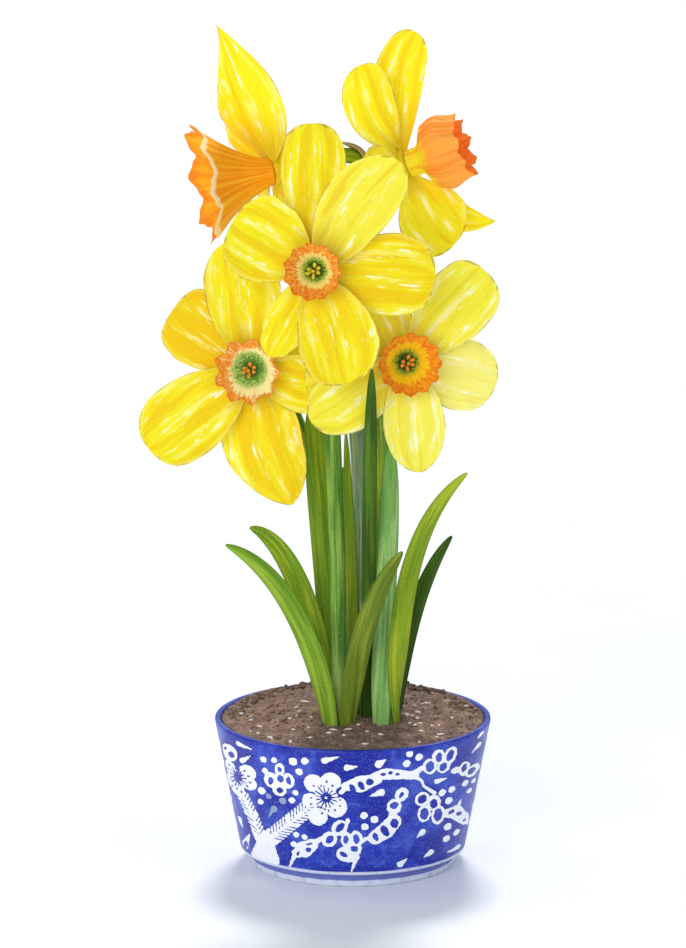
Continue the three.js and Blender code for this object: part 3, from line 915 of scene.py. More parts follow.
@dataclass(frozen=True)
class Pot:
    """The bowl: straight flared sides over a small stepped foot."""

    rim_r: float = 57.5
    belly_r: float = 47.0
    foot_r: float = 43.0
    height: float = 62.0
    foot_height: float = 6.0
    wall: float = 2.6
    floor: float = 5.0
    lip: float = 1.0
    sides: int = 180
    side_rings: int = 24
    finish: Finish = CobaltGlaze("cobalt_glaze", Slot.GLAZE)

    def side_r(self, z: float) -> float:
        """The radius of the outer side at a height."""
        low = self.foot_height + self.lip
        return mix(self.belly_r, self.rim_r, (z - low) / (self.height - self.lip - low))

    def inner_r(self, z: float) -> float:
        """The radius of the inner side at a height."""
        return self.side_r(z) - self.wall

    def profile(self) -> list[Spot]:
        """The outline of half a section.

        Returns:
            Radii and heights, from the middle of the underside round to the middle of the floor.
        """
        low, top, lip = self.foot_height + self.lip, self.height - self.lip, self.lip
        foot, belly, rim = self.foot_r, self.belly_r, self.rim_r
        inner = belly - self.wall - 1
        half, bevel = lip / 2, 0.3 * lip
        points = [(foot * share, 0.0) for share in (0.02, 0.6, 0.93)]
        points += [(foot - lip, 0), (foot - bevel, bevel), (foot, lip)]
        points += [(foot, 0.5 * low), (foot, self.foot_height - lip)]
        points += [(foot + 0.4 * lip, self.foot_height - bevel), (foot + lip, self.foot_height)]
        points += [(belly - lip, self.foot_height), (belly - bevel, self.foot_height + bevel)]
        points += [(self.side_r(z), z) for z in np.linspace(low, top, self.side_rings)]
        points += [(rim - 0.1 * lip, self.height - bevel), (rim - half, self.height)]
        points += [(rim - self.wall + half, self.height), (rim - self.wall, top)]
        points += [(inner, self.floor + 2 * lip), (inner - 2 * lip, self.floor), (inner * 0.02, self.floor)]
        return points

    def corner(self, angle: float, radius: float, z: float) -> Corner:
        """One corner of the bowl; its grain runs alike to both sides of the front."""
        grain = (abs(angle - math.pi) * self.belly_r, z, radius)
        return Corner(from_front(angle, radius, z), grain=grain)

    def build(self) -> None:
        """Makes the bowl."""
        rings = [[self.corner(angle, *spot) for angle in turns(self.sides)] for spot in self.profile()]
        Shell().capped(rings).piece("glazed_pot", self.finish, "pot")


class Brush:
    """Paint on one side of the pot.

    It is kept as a distance to its edge over the flat view of that side, and below zero is paint.
    """

    FAR = 9.0
    EDGE = 0.94
    RUN_ON = 0.1
    FEATHER_STEP = 1.75
    THREADS = 15

    def __init__(self, pot: Pot, facing: float, half: float, step: float) -> None:
        """Starts with nothing painted.

        Args:
            pot: the pot.
            facing: how far round from the front the painted side is, in degrees.
            half: half the width that is painted on.
            step: how far apart the distance is kept.
        """
        self.pot, self.facing, self.step = pot, math.radians(facing), step
        self.left, self.low = -half, pot.foot_height + pot.lip
        columns = np.arange(round(2 * half / step) + 1)
        rows = np.arange(int((pot.height - pot.lip - self.low) / step) + 1)
        self.x, self.z = np.meshgrid(self.left + columns * step, self.low + rows * step)
        self.depth = np.full(self.x.shape, self.FAR)
        shake = np.sin(1.7 * self.x + 2.3 * self.z) + 0.7 * np.sin(3.1 * self.z - 2.6 * self.x)
        self.shake = 0.08 * shake + 0.05 * np.sin(4.1 * self.x + 1.1 * self.z) * np.sin(3.7 * self.z)

    def lay(self, distance: np.ndarray, cut: bool = False) -> None:
        """Paints a form, or scratches it out, by the distance to its edge all over the side."""
        found = distance + self.shake
        self.depth = np.maximum(self.depth, -found) if cut else np.minimum(self.depth, found)

    def oval(
        self, x: float, z: float, half_x: float, half_z: float, turn: float = 0, cut: bool = False,
    ) -> None:
        """An oval dab.

        Args:
            x: its middle, from the middle of the side.
            z: its middle's height.
            half_x: half its width.
            half_z: half its height.
            turn: how far it is turned to the left, in degrees.
            cut: whether it is scratched out.
        """
        cosine, sine = math.cos(math.radians(turn)), math.sin(math.radians(turn))
        along = (self.x - x) * cosine + (self.z - z) * sine
        up = (self.z - z) * cosine - (self.x - x) * sine
        self.lay((np.hypot(along / half_x, up / half_z) - 1) * min(half_x, half_z), cut)

    def stroke(self, start: Spot, end: Spot, first: float, last: float, cut: bool = False) -> None:
        """A straight stroke.

        Args:
            start: where it starts.
            end: where it ends.
            first: half its width at the start.
            last: half its width at the end.
            cut: whether it is scratched out.
        """
        run = (end[0] - start[0], end[1] - start[1])
        length = run[0] ** 2 + run[1] ** 2
        dx, dz = self.x - start[0], self.z - start[1]
        share = np.clip((dx * run[0] + dz * run[1]) / length, 0, 1)
        off = np.hypot(dx - share * run[0], dz - share * run[1])
        self.lay(off - (first + (last - first) * share), cut)

    def ovals(self, *ovals: Sequence[float], cut: bool = False) -> None:
        """Several ovals."""
        for oval in ovals:
            self.oval(*oval, cut=cut)

    def strokes(self, *strokes: tuple) -> None:
        """Several strokes."""
        for stroke in strokes:
            self.stroke(*stroke)

    def threads(self, middle: Spot, turn: float, lean: float) -> None:
        """Scratches a flower's threads round its middle, with a dot beyond each.

        Args:
            middle: the flower's middle.
            turn: where the first thread points, in radians.
            lean: the flower's width as a share of its height.
        """
        for i, step in enumerate(turns(self.THREADS)):
            angle = step + turn
            way = (lean * math.cos(angle), math.sin(angle))
            reach = 4.9 + 0.8 * math.sin(5.1 * i)
            ends = [(middle[0] + way[0] * r, middle[1] + way[1] * r) for r in (1.9, reach)]
            self.stroke(*ends, 0.34, 0.22, cut=True)
            angle += math.pi / self.THREADS
            reach = 6.4 + 0.8 * math.sin(3.7 * i)
            x, z = middle[0] + lean * math.cos(angle) * reach, middle[1] + math.sin(angle) * reach
            self.oval(x, z, 0.42, 0.62, math.degrees(angle) - 90, cut=True)

    def frond(self, points: Sequence[Spot], width: float) -> None:
        """A broad feather with slanted scratches up both sides of its middle line.

        Args:
            points: the points that its middle line runs through.
            width: half its width.
        """
        for start, end in zip(points, points[1:]):
            self.stroke(start, end, width, width)
        for start, end in zip(points, points[1:]):
            run = np.subtract(end, start)
            length = float(np.hypot(*run))
            run /= length
            side = np.array([-run[1], run[0]])
            for i in range(1, int(length / self.FEATHER_STEP) + 1):
                root = np.add(start, run * i * self.FEATHER_STEP)
                for way in (-1, 1):
                    tip = root + (run * 0.8 + side * way) * width * 0.98
                    self.stroke(tuple(root + side * way * 0.5), tuple(tip), 0.15, 0.26, cut=True)

    def bearing(self, x: float, z: float) -> float:
        """How far round the pot a place of the flat view lies.

        Near the view's edge, forms run on round the side.

        Args:
            x: the place, from the middle of the side.
            z: its height.

        Returns:
            The angle from the middle of the side, in radians.
        """
        share = abs(x) / self.pot.side_r(z)
        over = max(share - self.EDGE, 0)
        steep = 1 / math.sqrt(1 - self.EDGE**2)
        run_on = over * mix(1, steep, math.exp(-over / self.RUN_ON))
        return math.copysign(math.asin(min(share, self.EDGE)) + run_on, x)

    def skin(self, thickness: float) -> Shell:
        """The painted places as a thin skin over the pot's side.

        Args:
            thickness: how far it stands out, and how deep it goes.

        Returns:
            The skin, closed all round.
        """
        shell = Shell()
        known: dict[tuple, int] = {}
        ends = np.maximum(self.z[1, 0] - self.z, self.z - self.z[-2, 0])
        depth = np.maximum(self.depth, ends - 0.02)

        def corner(row: float, column: float, lift: float) -> int:
            """Finds or adds a corner of the skin.

            Args:
                row: its row of the grid.
                column: its column.
                lift: how far it stands out of the pot.

            Returns:
                Its number.
            """
            key = (round(row, 3), round(column, 3), lift)
            if key not in known:
                x, z = self.left + column * self.step, self.low + row * self.step
                at = from_front(self.facing + self.bearing(x, z), self.pot.side_r(z) + lift, z)
                known[key] = shell.add([Corner(at, grain=(x, z, 0.0))])
            return known[key]

        inside = depth < 0
        near = inside[:-1, :-1] | inside[1:, :-1] | inside[:-1, 1:] | inside[1:, 1:]
        for row, column in np.argwhere(near):
            square = [(row, column), (row, column + 1), (row + 1, column + 1), (row + 1, column)]
            values = [depth[spot] for spot in square]
            outline = []
            for i, (spot, value) in enumerate(zip(square, values)):
                follow, other = square[(i + 1) % 4], values[(i + 1) % 4]
                if value < 0:
                    outline.append((spot, False))
                if (value < 0) != (other < 0):
                    share = min(max(value / (value - other), 0.02), 0.98)
                    outline.append(((mix(spot[0], follow[0], share), mix(spot[1], follow[1], share)), True))
            if len(outline) < 3:
                continue
            for lift in (thickness, -thickness):
                shell.faces.append(tuple(corner(*spot, lift) for spot, _ in outline))
            for (spot, crossed), (follow, followed) in zip(outline, outline[1:] + outline[:1]):
                if crossed and followed:
                    ends = [corner(*spot, thickness), corner(*follow, thickness)]
                    feet = [corner(*follow, -thickness), corner(*spot, -thickness)]
                    shell.faces.append((*ends, *feet))
        return shell


class Branch(Brush):
    """The flowering branch of the pattern, and the twig that fills the gap between two of them."""

    DOT_SPREAD = 0.15

    def bloom(self) -> None:
        """Paints the whole branch."""
        for part in (self.trunk, self.sprays, self.chains, self.dabs):
            part()

    def trunk(self) -> None:
        """Paints the trunk, its two feathers and the two open flowers."""
        self.strokes(
            ((-36.6, 8.4), (-36.1, 18.4), 4.5, 3), ((-38.7, 8.5), (-36.9, 16.5), 3.4, 2.5),
            ((-33.7, 9.4), (-35.2, 16.8), 3.4, 2.5), ((-40.4, 9), (-37, 13), 1.6, 2),
        )
        self.frond(((-38.2, 18), (-41.2, 26), (-46.4, 36)), 2.9)
        self.frond(((-34.6, 18.4), (-26.4, 27.4), (-17.6, 36.6)), 3.5)
        self.ovals(
            (-43.4, 46.5, 3.5, 3.3), (-50.9, 44.6, 3.2, 3.4), (-52.2, 38.4, 2.6, 3.2),
            (-43.2, 41.6, 3.6, 3.2), (-47.9, 36.4, 3.2, 3.2), (-47.5, 41.6, 3.6, 3.6),
        )
        self.oval(-47.4, 48.2, 0.5, 2.2, -12, cut=True)
        self.oval(-47.6, 42.4, 1.7, 1.7, cut=True)
        self.threads((-47.6, 42.2), 0.2, 0.74)
        self.ovals(
            (-9.2, 48, 4.3, 4.2, -15), (-16.2, 46.9, 3.9, 4.1, 20), (-7, 36.9, 4.6, 4.8, -20),
            (-14.4, 32.2, 4, 4.1), (-17.6, 39.4, 3.2, 3), (-11, 41.1, 4.8, 5),
        )
        self.oval(-11, 40.9, 2, 2.1, cut=True)
        self.threads((-11, 40.9), 0.5, 1)
        self.oval(-11, 40.9, 0.55, 0.6)
        self.stroke((-44.9, 10.7), (-43, 17), 1.5, 0.35)
        self.oval(-44.6, 11, 0.9, 2, -18, cut=True)

    def sprays(self) -> None:
        """Paints the branches of buds to the right of the flowers."""
        self.strokes(
            ((-5, 43.4), (-2.4, 46.4), 0.9, 1.4), ((-2.9, 46.3), (3, 47.3), 1.9, 3.7),
            ((3, 47.3), (9.8, 49.3), 3.7, 2.3), ((9, 50.5), (13.3, 51.4), 1.9, 2.5),
            ((13.3, 51.4), (18.7, 50.7), 2.5, 2.2), ((18.7, 50.7), (25.4, 49.4), 2, 1.8),
            ((24, 49.8), (29.6, 52.9), 1.5, 1), ((25, 49.2), (28, 46.8), 1, 0.6),
            ((28, 46.8), (29.2, 44), 0.6, 0.5), ((29.2, 44), (33.5, 39.9), 0.5, 0.9),
        )
        self.ovals(
            (31.6, 52.4, 2.9, 3.6, 10), (35.1, 56.2, 2.7, 3.2), (40, 55.3, 2.7, 4.0, -20),
            (37.3, 51.1, 2.8, 2.9), (28.5, 38.2, 3, 3.2), (33.3, 35.6, 2.9, 3.6, 15), (29.4, 31.5, 2.8, 3.9),
            (35.1, 29.5, 2.8, 4.3), (42.3, 47.8, 2, 1.5), (46.1, 47, 2.4, 3.3), (49.6, 44.2, 3.2, 2.7),
            (52.6, 43.4, 1.6, 1.2),
        )
        self.strokes(
            ((37.1, 29.4), (42.3, 28.4), 1.6, 2.9), ((42.3, 28.4), (47.2, 21.5), 2.9, 1.9),
            ((47.2, 21.5), (49.2, 18.4), 1.7, 0.6), ((44, 31.2), (44.6, 33), 0.8, 0.3),
        )
        self.ovals(
            (-0.2, 45.3, 1.2, 2.1, 20), (3.4, 46.5, 1.2, 2.1, 25), (6.9, 48.1, 1.6, 1.5),
            (12.4, 51.3, 1.1, 0.7), (15.4, 51.8, 1, 0.8), (18.2, 50.8, 0.9, 0.7), (31.6, 52.4, 1.8, 2.4, 5),
            (35.3, 55.7, 1.3, 2.2), (40, 55.5, 1.5, 2.6, -22), (37.1, 51, 1.6, 1.9, -20),
            (28.5, 38.2, 1.9, 2, -20), (33.3, 35, 1.6, 2.2, 12), (29.4, 31.3, 1.8, 2.7), (35.1, 29.5, 1.8, 3),
            (40.7, 29, 1.5, 0.9, 22), (43.9, 26.7, 1.3, 1, -30), (46.3, 22, 0.7, 0.7),
            (45.9, 47.5, 1.2, 1.9, -8), (49.2, 44.4, 1.8, 1.5), cut=True,
        )

    def chains(self) -> None:
        """Paints the loose chains of buds below."""
        self.ovals(
            (20, 41.5, 2.7, 3.2, -25), (16.9, 36.4, 3, 3.5), (16.3, 32.6, 1.7, 2.2), (1.4, 22.5, 2.6, 3.9, 5),
            (-2.7, 22.2, 2.3, 3.4), (0.5, 18.2, 3.1, 3.2), (-3.7, 15.8, 3.1, 3.3), (-1.3, 14, 2.9, 1.9),
            (-9.8, 22.2, 3.2, 3.5, -30), (-5.5, 27.5, 3.1, 3.8, -35), (-2.3, 30.3, 0.9, 1.9, -15),
            (-30.1, 51.3, 2, 2.9), (-33.6, 45.8, 3, 3.5), (-26.6, 46.8, 2.6, 3.5), (-30.3, 42.4, 3, 3.2),
            (-30.2, 46.7, 2.8, 3.2), (-51.4, 51.8, 3.4, 4.2, -30),
        )
        self.strokes(
            ((16.6, 29.5), (13.6, 26), 3.3, 3.7), ((13.6, 26), (9.3, 23.1), 3.7, 3.1),
            ((9.3, 23.1), (5.6, 22.8), 2.4, 0.8), ((5.6, 22.8), (2.6, 20.8), 0.8, 0.8),
            ((1.6, 14.7), (-0.6, 8.1), 1.2, 0.3), ((-26, 8.1), (-24, 13.5), 0.4, 0.9),
            ((-23.2, 14.4), (-20.2, 16.6), 2, 3.6), ((-20.2, 16.6), (-16.9, 19.2), 3.6, 2.6),
            ((-16, 20.2), (-12.3, 22.8), 1.3, 0.8),
        )
        self.ovals(
            (19.9, 41.4, 0.8, 1.5, -35), (16.9, 36.9, 1.8, 1.6), (17, 28.8, 1.7, 2.2, 10),
            (13.1, 25.7, 1.5, 2.8, 28), (9.3, 23.3, 1.1, 2, 24), (1.4, 22.6, 1.3, 2.2, 8),
            (0.6, 18.2, 1.6, 1.4), (-2.9, 22.4, 1.1, 1.9), (-3.9, 15.6, 1.8, 1.1, -30),
            (-22.6, 14.4, 0.6, 1, -20), (-18, 19.4, 1.3, 0.5, 18), (-18.3, 16.7, 1.2, 1.1),
            (-9.5, 22.2, 1.4, 2.1, -35), (-5.3, 27.7, 1.4, 2.4, -38), (-30.1, 51.3, 0.9, 1.3),
            (-29.8, 47.2, 1.4, 1.6), (-33.8, 45.5, 1.1, 1.8, -8), (-26.4, 46.8, 1, 1.8, 10),
            (-30, 41.9, 1.4, 1.3), (-53, 52.8, 0.6, 1.2, -30), (-50.3, 51.5, 1.3, 1.5, -25), cut=True,
        )

    def dabs(self) -> None:
        """Paints the loose dots, and the dabs that trail off."""
        for x, z, radius in (
            (-36.8, 54.4, 1.2), (-32.4, 55.1, 1.1), (-24.6, 55.8, 1.6), (-19.7, 56.6, 1.4),
            (-36.2, 49.5, 1.1), (-22.1, 51.5, 1.4), (-37.6, 39.9, 1.5), (-23.6, 41.9, 1.1),
            (-25.1, 38.2, 1.2), (-38.1, 34.6, 1.1), (-23.3, 22.9, 1.1), (-19.9, 22.3, 1.1),
            (-24.4, 18.4, 1.1), (23.2, 59.4, 1.3), (27.1, 57.4, 1.4), (22, 55.2, 1.4), (4.5, 33.2, 1.4),
            (8.8, 31.2, 1.5), (4.9, 28.1, 1.4), (36.8, 39.2, 1.4), (40.8, 39.5, 1.3), (39.6, 34.7, 1.4),
            (46.4, 40, 1.2), (50.2, 38.7, 1), (48.3, 35.2, 1), (39.2, 22.6, 1.5), (43, 18.2, 1.2),
            (38.7, 17.2, 1.4),
        ):
            self.oval(x, z, radius + self.DOT_SPREAD, radius + self.DOT_SPREAD)
        self.strokes(
            ((-47.2, 58.3), (-41.8, 57.7), 1.1, 0.2), ((-45.7, 51), (-42.2, 54.5), 1.1, 0.2),
            ((-11.7, 57.4), (-5.9, 59.4), 1.4, 0.2), ((-2.4, 54.6), (1.6, 55.1), 1.4, 0.3),
            ((10.7, 56), (13.1, 57.6), 1.8, 0.4), ((11.5, 43.2), (7, 41.7), 1.6, 0.2),
            ((28.6, 23.1), (26.5, 21.1), 1.4, 0.2), ((32.2, 12.9), (29.3, 11.4), 1.3, 0.2),
            ((43.8, 10.6), (39, 10.5), 1.1, 0.2), ((19.5, 10), (22, 11.9), 1.4, 0.4),
            ((52.2, 55.1), (49.3, 53.2), 1.1, 0.2), ((53.4, 60), (51.6, 58.4), 1, 0.2),
            ((-47.1, 22.1), (-45.8, 18.6), 0.9, 0.2), ((34.6, 45), (38.7, 45.4), 1.2, 0.2),
        )

    def seam(self) -> None:
        """Fills the side between two branches with a twig of buds, and dots."""
        self.strokes(
            ((-6, 14), (-2.4, 27), 0.6, 0.8), ((-2.4, 27), (3, 38), 0.8, 0.7), ((3, 38), (-1, 50), 0.7, 0.5),
            ((6, 18), (7.6, 16), 1.2, 0.2), ((-6, 46), (-7.8, 43.6), 1.2, 0.2),
            ((6, 52), (8, 53.4), 1.2, 0.2),
        )
        buds = (
            (-5, 20, 2.6, 3.4), (-1.2, 28, 2.6, 3.3), (4, 35, 2.7, 3.4), (1, 45, 2.6, 3.2),
            (-3.4, 51, 2.5, 3.1),
        )
        self.ovals(*buds)
        for x, z, half_x, half_z in buds:
            self.oval(x, z, half_x - 1.2, half_z - 1.3, cut=True)
        for x, z in (
            (5, 25), (7.6, 29), (3.6, 12), (-6, 33.6), (-3.6, 38.4), (7, 44.6), (-7.6, 56), (3, 57),
            (-7.6, 25.4),
        ):
            self.oval(x, z, 1.35, 1.35)

    def pale_dots(self) -> None:
        """Paints the dots of a paler blue between the flowers."""
        self.ovals((-32.5, 32.9, 1.4, 1.4), (-28.9, 37.3, 1.5, 1.5), (-34.7, 38.1, 1.2, 1.2))
        self.stroke((-33, 32.4), (-34.8, 28.6), 0.8, 0.2)


@dataclass(frozen=True)
class PotPainting:
    """The pattern on the pot: the branch on its front and its back, and a twig between them on each side."""

    pot: Pot
    half: float = 58.0
    side_half: float = 15.0
    step: float = 0.28
    thickness: float = 0.05
    finish: Finish = BrushedWhite("brushed_white", Slot.GLAZE)
    pale_finish: Finish = BrushedWhite("brushed_pale_blue", Slot.GLAZE, "93A6C4", "6F86C0")

    def build(self) -> None:
        """Makes the pattern."""
        for side, facing in (("front", 0), ("back", 180)):
            brush, pale = (Branch(self.pot, facing, self.half, self.step) for _ in range(2))
            brush.bloom()
            pale.pale_dots()
            brush.skin(self.thickness).piece(f"pot_pattern_{side}", self.finish)
            pale.skin(self.thickness).piece(f"pot_pale_dots_{side}", self.pale_finish)
        for side, facing in (("right", 90), ("left", 270)):
            brush = Branch(self.pot, facing, self.side_half, self.step)
            brush.seam()
            brush.skin(self.thickness).piece(f"pot_pattern_{side}", self.finish)


@dataclass(frozen=True)
class Soil:
    """Soil that fills the pot, heaped a little towards the back, with crumbs and pale grit on it."""

    pot: Pot
    edge_z: float = 61.2
    crown_z: float = 64.6
    back_heap: float = 1.7
    gap: float = 0.3
    rings: int = 64
    sides: int = 200
    crumbs: int = 620
    grits: int = 64
    back_share: float = 0.42
    lump_rings: int = 5
    lump_sides: int = 8
    seed: int = 11
    finish: Finish = Compost("compost", Slot.SOIL)
    grit_finish: Finish = Grit("grit", Slot.SOIL)

    def top(self, x: float, y: float) -> float:
        """The height of the surface.

        Args:
            x: the place, to the right of the middle.
            y: the place, behind the middle.

        Returns:
            The height there.
        """
        edge = self.pot.inner_r(self.pot.height)
        share = min(math.hypot(x, y) / edge, 1)
        heap = self.back_heap * eased(y, 10, 45) * eased(share, 0.5, 0.95)
        lumps = 0.45 * math.sin(0.31 * x + 1) * math.cos(0.27 * y) + 0.28 * math.sin(0.83 * x + 0.71 * y)
        fine = 0.16 * math.sin(2.1 * x - 1.3 * y) + 0.12 * math.sin(1.7 * y + 2.9 * x + 2)
        return mix(self.crown_z, self.edge_z, share**2) + heap + (lumps + fine) * (1.15 - 0.5 * share**6)

    def surface(self, angle: float, radius: float, raised: float = 0.0) -> Vector:
        """The point of the surface at an angle and a distance from the middle, or a little over it."""
        x, y = polar(angle, radius)
        return Vector((x, y, self.top(x, y) + raised))

    def body(self) -> Shell:
        """The soil's own body.

        Returns:
            Its shell, from the middle of the surface over the edge to the middle of the underside.
        """
        around = turns(self.sides)
        edge = self.pot.inner_r(self.edge_z) - self.gap
        lowest = self.pot.floor + self.gap
        rings = []
        for r in range(self.rings):
            rings.append([self.surface(angle, edge * ((r + 1) / self.rings)) for angle in around])
        for z, inset in ((58, 0), (36, 0), (12, 0.5), (lowest + 3, 1.5), (lowest, 6), (lowest, 30)):
            radius = self.pot.inner_r(z) - self.gap - inset
            rings.append([about(angle, radius, z) for angle in around])
        return Shell().capped([[Corner(at, grain=tuple(at)) for at in ring] for ring in rings])

    def lump(self, draw: random.Random, at: Vector, sizes: Triple, turn: float) -> Shell:
        """One crumb or grain: a rough ball.

        Args:
            draw: where its random numbers come from.
            at: its middle.
            sizes: its half length, width and height.
            turn: how far it is turned about the upright, in radians.

        Returns:
            Its shell.
        """
        spin = Matrix.Rotation(turn, 3, "Z")
        shade, _ = draw.uniform(0, 90), draw.uniform(0, 90)  # The second keeps the later draws as they are.
        rings: Sheet = []
        for r in range(self.lump_rings):
            polar_angle = math.pi * (r + 0.5) / self.lump_rings
            ring = []
            for angle in turns(self.lump_sides):
                rough = draw.uniform(0.78, 1.12)
                ball = about(angle, math.sin(polar_angle), math.cos(polar_angle))
                point = spin @ Vector(a * b * rough for a, b in zip(ball, sizes))
                ring.append(Corner(at + point, grain=(at.x + point.x, at.y + point.y, shade)))
            rings.append(ring)
        return Shell().capped(rings)

    def crumb_heap(self, draw: random.Random) -> Shell:
        """All the crumbs, of which some lie along the back edge.

        Args:
            draw: where the random numbers come from.

        Returns:
            Their shells in one.
        """
        heap = Shell()
        edge = self.pot.inner_r(self.pot.height) - self.gap
        for i in range(self.crumbs):
            angle, share = draw.uniform(0, 2 * math.pi), math.sqrt(draw.random())
            size = draw.uniform(0.4, 1.3)
            if i < self.crumbs * self.back_share:
                angle, share = draw.uniform(0.02, 0.98) * math.pi, draw.uniform(0.86, 0.99)
                size = draw.uniform(0.7, 1.5)
            sizes = (size, size * draw.uniform(0.6, 1), size * draw.uniform(0.5, 0.85))
            at = self.surface(angle, share * (edge - size - 0.6), sizes[2] * 0.25)
            heap.join(self.lump(draw, at, sizes, draw.uniform(0, math.pi)))
        return heap

    def grit_heap(self, draw: random.Random) -> Shell:
        """All the pale grains.

        Args:
            draw: where the random numbers come from.

        Returns:
            Their shells in one.
        """
        heap = Shell()
        edge = self.pot.inner_r(self.pot.height) - self.gap
        for _ in range(self.grits):
            angle, share = draw.uniform(0, 2 * math.pi), math.sqrt(draw.uniform(0.1, 0.92))
            size = draw.uniform(0.5, 1) + 1.6 * draw.random() ** 3
            sizes = (size, draw.uniform(0.4, 0.75), draw.uniform(0.35, 0.55))
            at = self.surface(angle, share * (edge - 2), 0.25)
            heap.join(self.lump(draw, at, sizes, draw.uniform(-0.6, 0.6)))
        return heap

    def build(self) -> None:
        """Makes the soil, its crumbs and its grit."""
        self.body().piece("potting_soil", self.finish, "soil")
        draw = random.Random(self.seed)
        crumbs, grits = self.crumb_heap(draw), self.grit_heap(draw)
        crumbs.piece("soil_crumbs", self.finish)
        grits.piece("soil_grit", self.grit_finish)


NOSE_Z = 46.0
GAP = 0.3
SHOOTS: dict[str, Spot] = {
    "front": (-5.5, -17),
    "lower_left": (-6, 6),
    "lower_right": (14, 6),
    "upper_left": (14, -17),
    "upper_right": (5, -5),
}


@dataclass(frozen=True)
class Tepal:
    """One petal of a flower, by its bearing round the flower and its size and carriage."""

    bearing: float
    length: float
    half: float
    lift: float
    bend: float
    inner: bool
    pointed: float = 0.5
    twist: float = 0.0
    sway: float = 0.0
    gold: float = 0.5
    rows: int = 34
    columns: int = 24
    root_r: float = 4.5
    thickness: float = 0.6
    shoulder: float = 0.7
    claw: float = 0.06
    ragged: float = 0.015

    def outline(self, along: float) -> float:
        """Half its width, as a share of the widest.

        Args:
            along: the share of its length.

        Returns:
            The share of its half width.
        """

        def shape(x: float) -> float:
            """The outline before it is scaled."""
            return (x + self.claw) ** self.shoulder * (1.002 - x) ** self.pointed

        widest = (self.shoulder - self.claw * self.pointed) / (self.shoulder + self.pointed)
        return shape(along) / shape(widest)

    def relief(self, along: float, across: float, width: float) -> float:
        """How far the blade stands forward of flat: cupping, waves, a middle groove and side folds.

        Args:
            along: the share of the way from root to tip.
            across: the share of the way from the middle to an edge, below zero on one side.
            width: half the blade's width there.

        Returns:
            The distance.
        """
        cupping = 0.13 if self.inner else -0.1
        body = math.sin(math.pi * min(along * 1.05, 1)) if along < 0.95 else 0.0
        wave = 0.9 * along * math.sin(9 * along + 2 * across + self.bearing)
        fine = 0.3 * along * math.sin(26 * along + 5 * across + 2 * self.bearing)
        groove = -0.55 * body * math.exp(-((across / 0.1) ** 2))
        folds = 0.34 * body * self.fold(along, across) + 0.08 * body * math.cos(23 * across)
        return (cupping * width + wave + fine) * across * across + groove + folds

    def fold(self, along: float, across: float) -> float:
        """The pleats from root to tip: 1 on a ridge and -1 in a furrow."""
        wander = 0.9 * math.sin(2.2 * along + self.bearing) + 0.4 * math.sin(7 * along + 2 * self.bearing)
        return math.cos(8.5 * across + wander + 3 * math.sin(self.bearing))

    def shell(self) -> Shell:
        """The whole blade, about +Z with the flower's middle at the origin.

        Returns:
            Its shell.
        """
        run = self.length - self.root_r
        start, turn = math.radians(self.lift), math.radians(self.bend or 0.01)
        height = 0.7 if self.inner else -0.6
        whirl = Matrix.Rotation(math.radians(self.bearing), 3, "Z")
        rows: list[list[Pair]] = []
        for row in range(self.rows + 1):
            along = 1 - (1 - row / self.rows) ** 1.5
            slope = start + turn * along
            reach = self.root_r + run * (math.sin(slope) - math.sin(start)) / turn
            rise = height + run * (math.cos(start) - math.cos(slope)) / turn
            spin = math.radians(self.twist) * (1 - (1 - along) ** 3)
            aside = self.sway * math.sin(math.pi * along)
            normal = Vector((-math.sin(slope), 0, math.cos(slope)))
            beside = Vector((0, math.cos(spin), 0)) + normal * math.sin(spin)
            face = normal * math.cos(spin) + Vector((0, -math.sin(spin), 0))
            width = self.half * self.outline(along)
            line = []
            for column in range(self.columns + 1):
                across = math.sin(math.pi / 2 * (2 * column / self.columns - 1))
                thin = self.thickness * (1 - 0.6 * across * across)
                relief = self.relief(along, across, width)
                tear = 1 + math.sin(19 * along + math.copysign(2, across) + self.bearing)
                ragged = 1 - self.ragged * tear * along
                middle = Vector((reach, 0, rise)) + beside * (aside + width * ragged * across)
                grain = (self.length * along, width * across + 4 * across, 3 * self.bearing)
                # The fold lets the finish lay painted shade and highlight along the pleats.
                tone = (self.gold, self.fold(along, across), 0.0)
                pair = []
                for shift, side in ((0.5, 1.0), (-0.5, 0.0)):
                    at = whirl @ (middle + face * (shift * thin + relief))
                    pair.append(Corner(at, (along, across, side), grain, tone))
                line.append(tuple(pair))
            rows.append(line)
        return Shell().walled(rows)


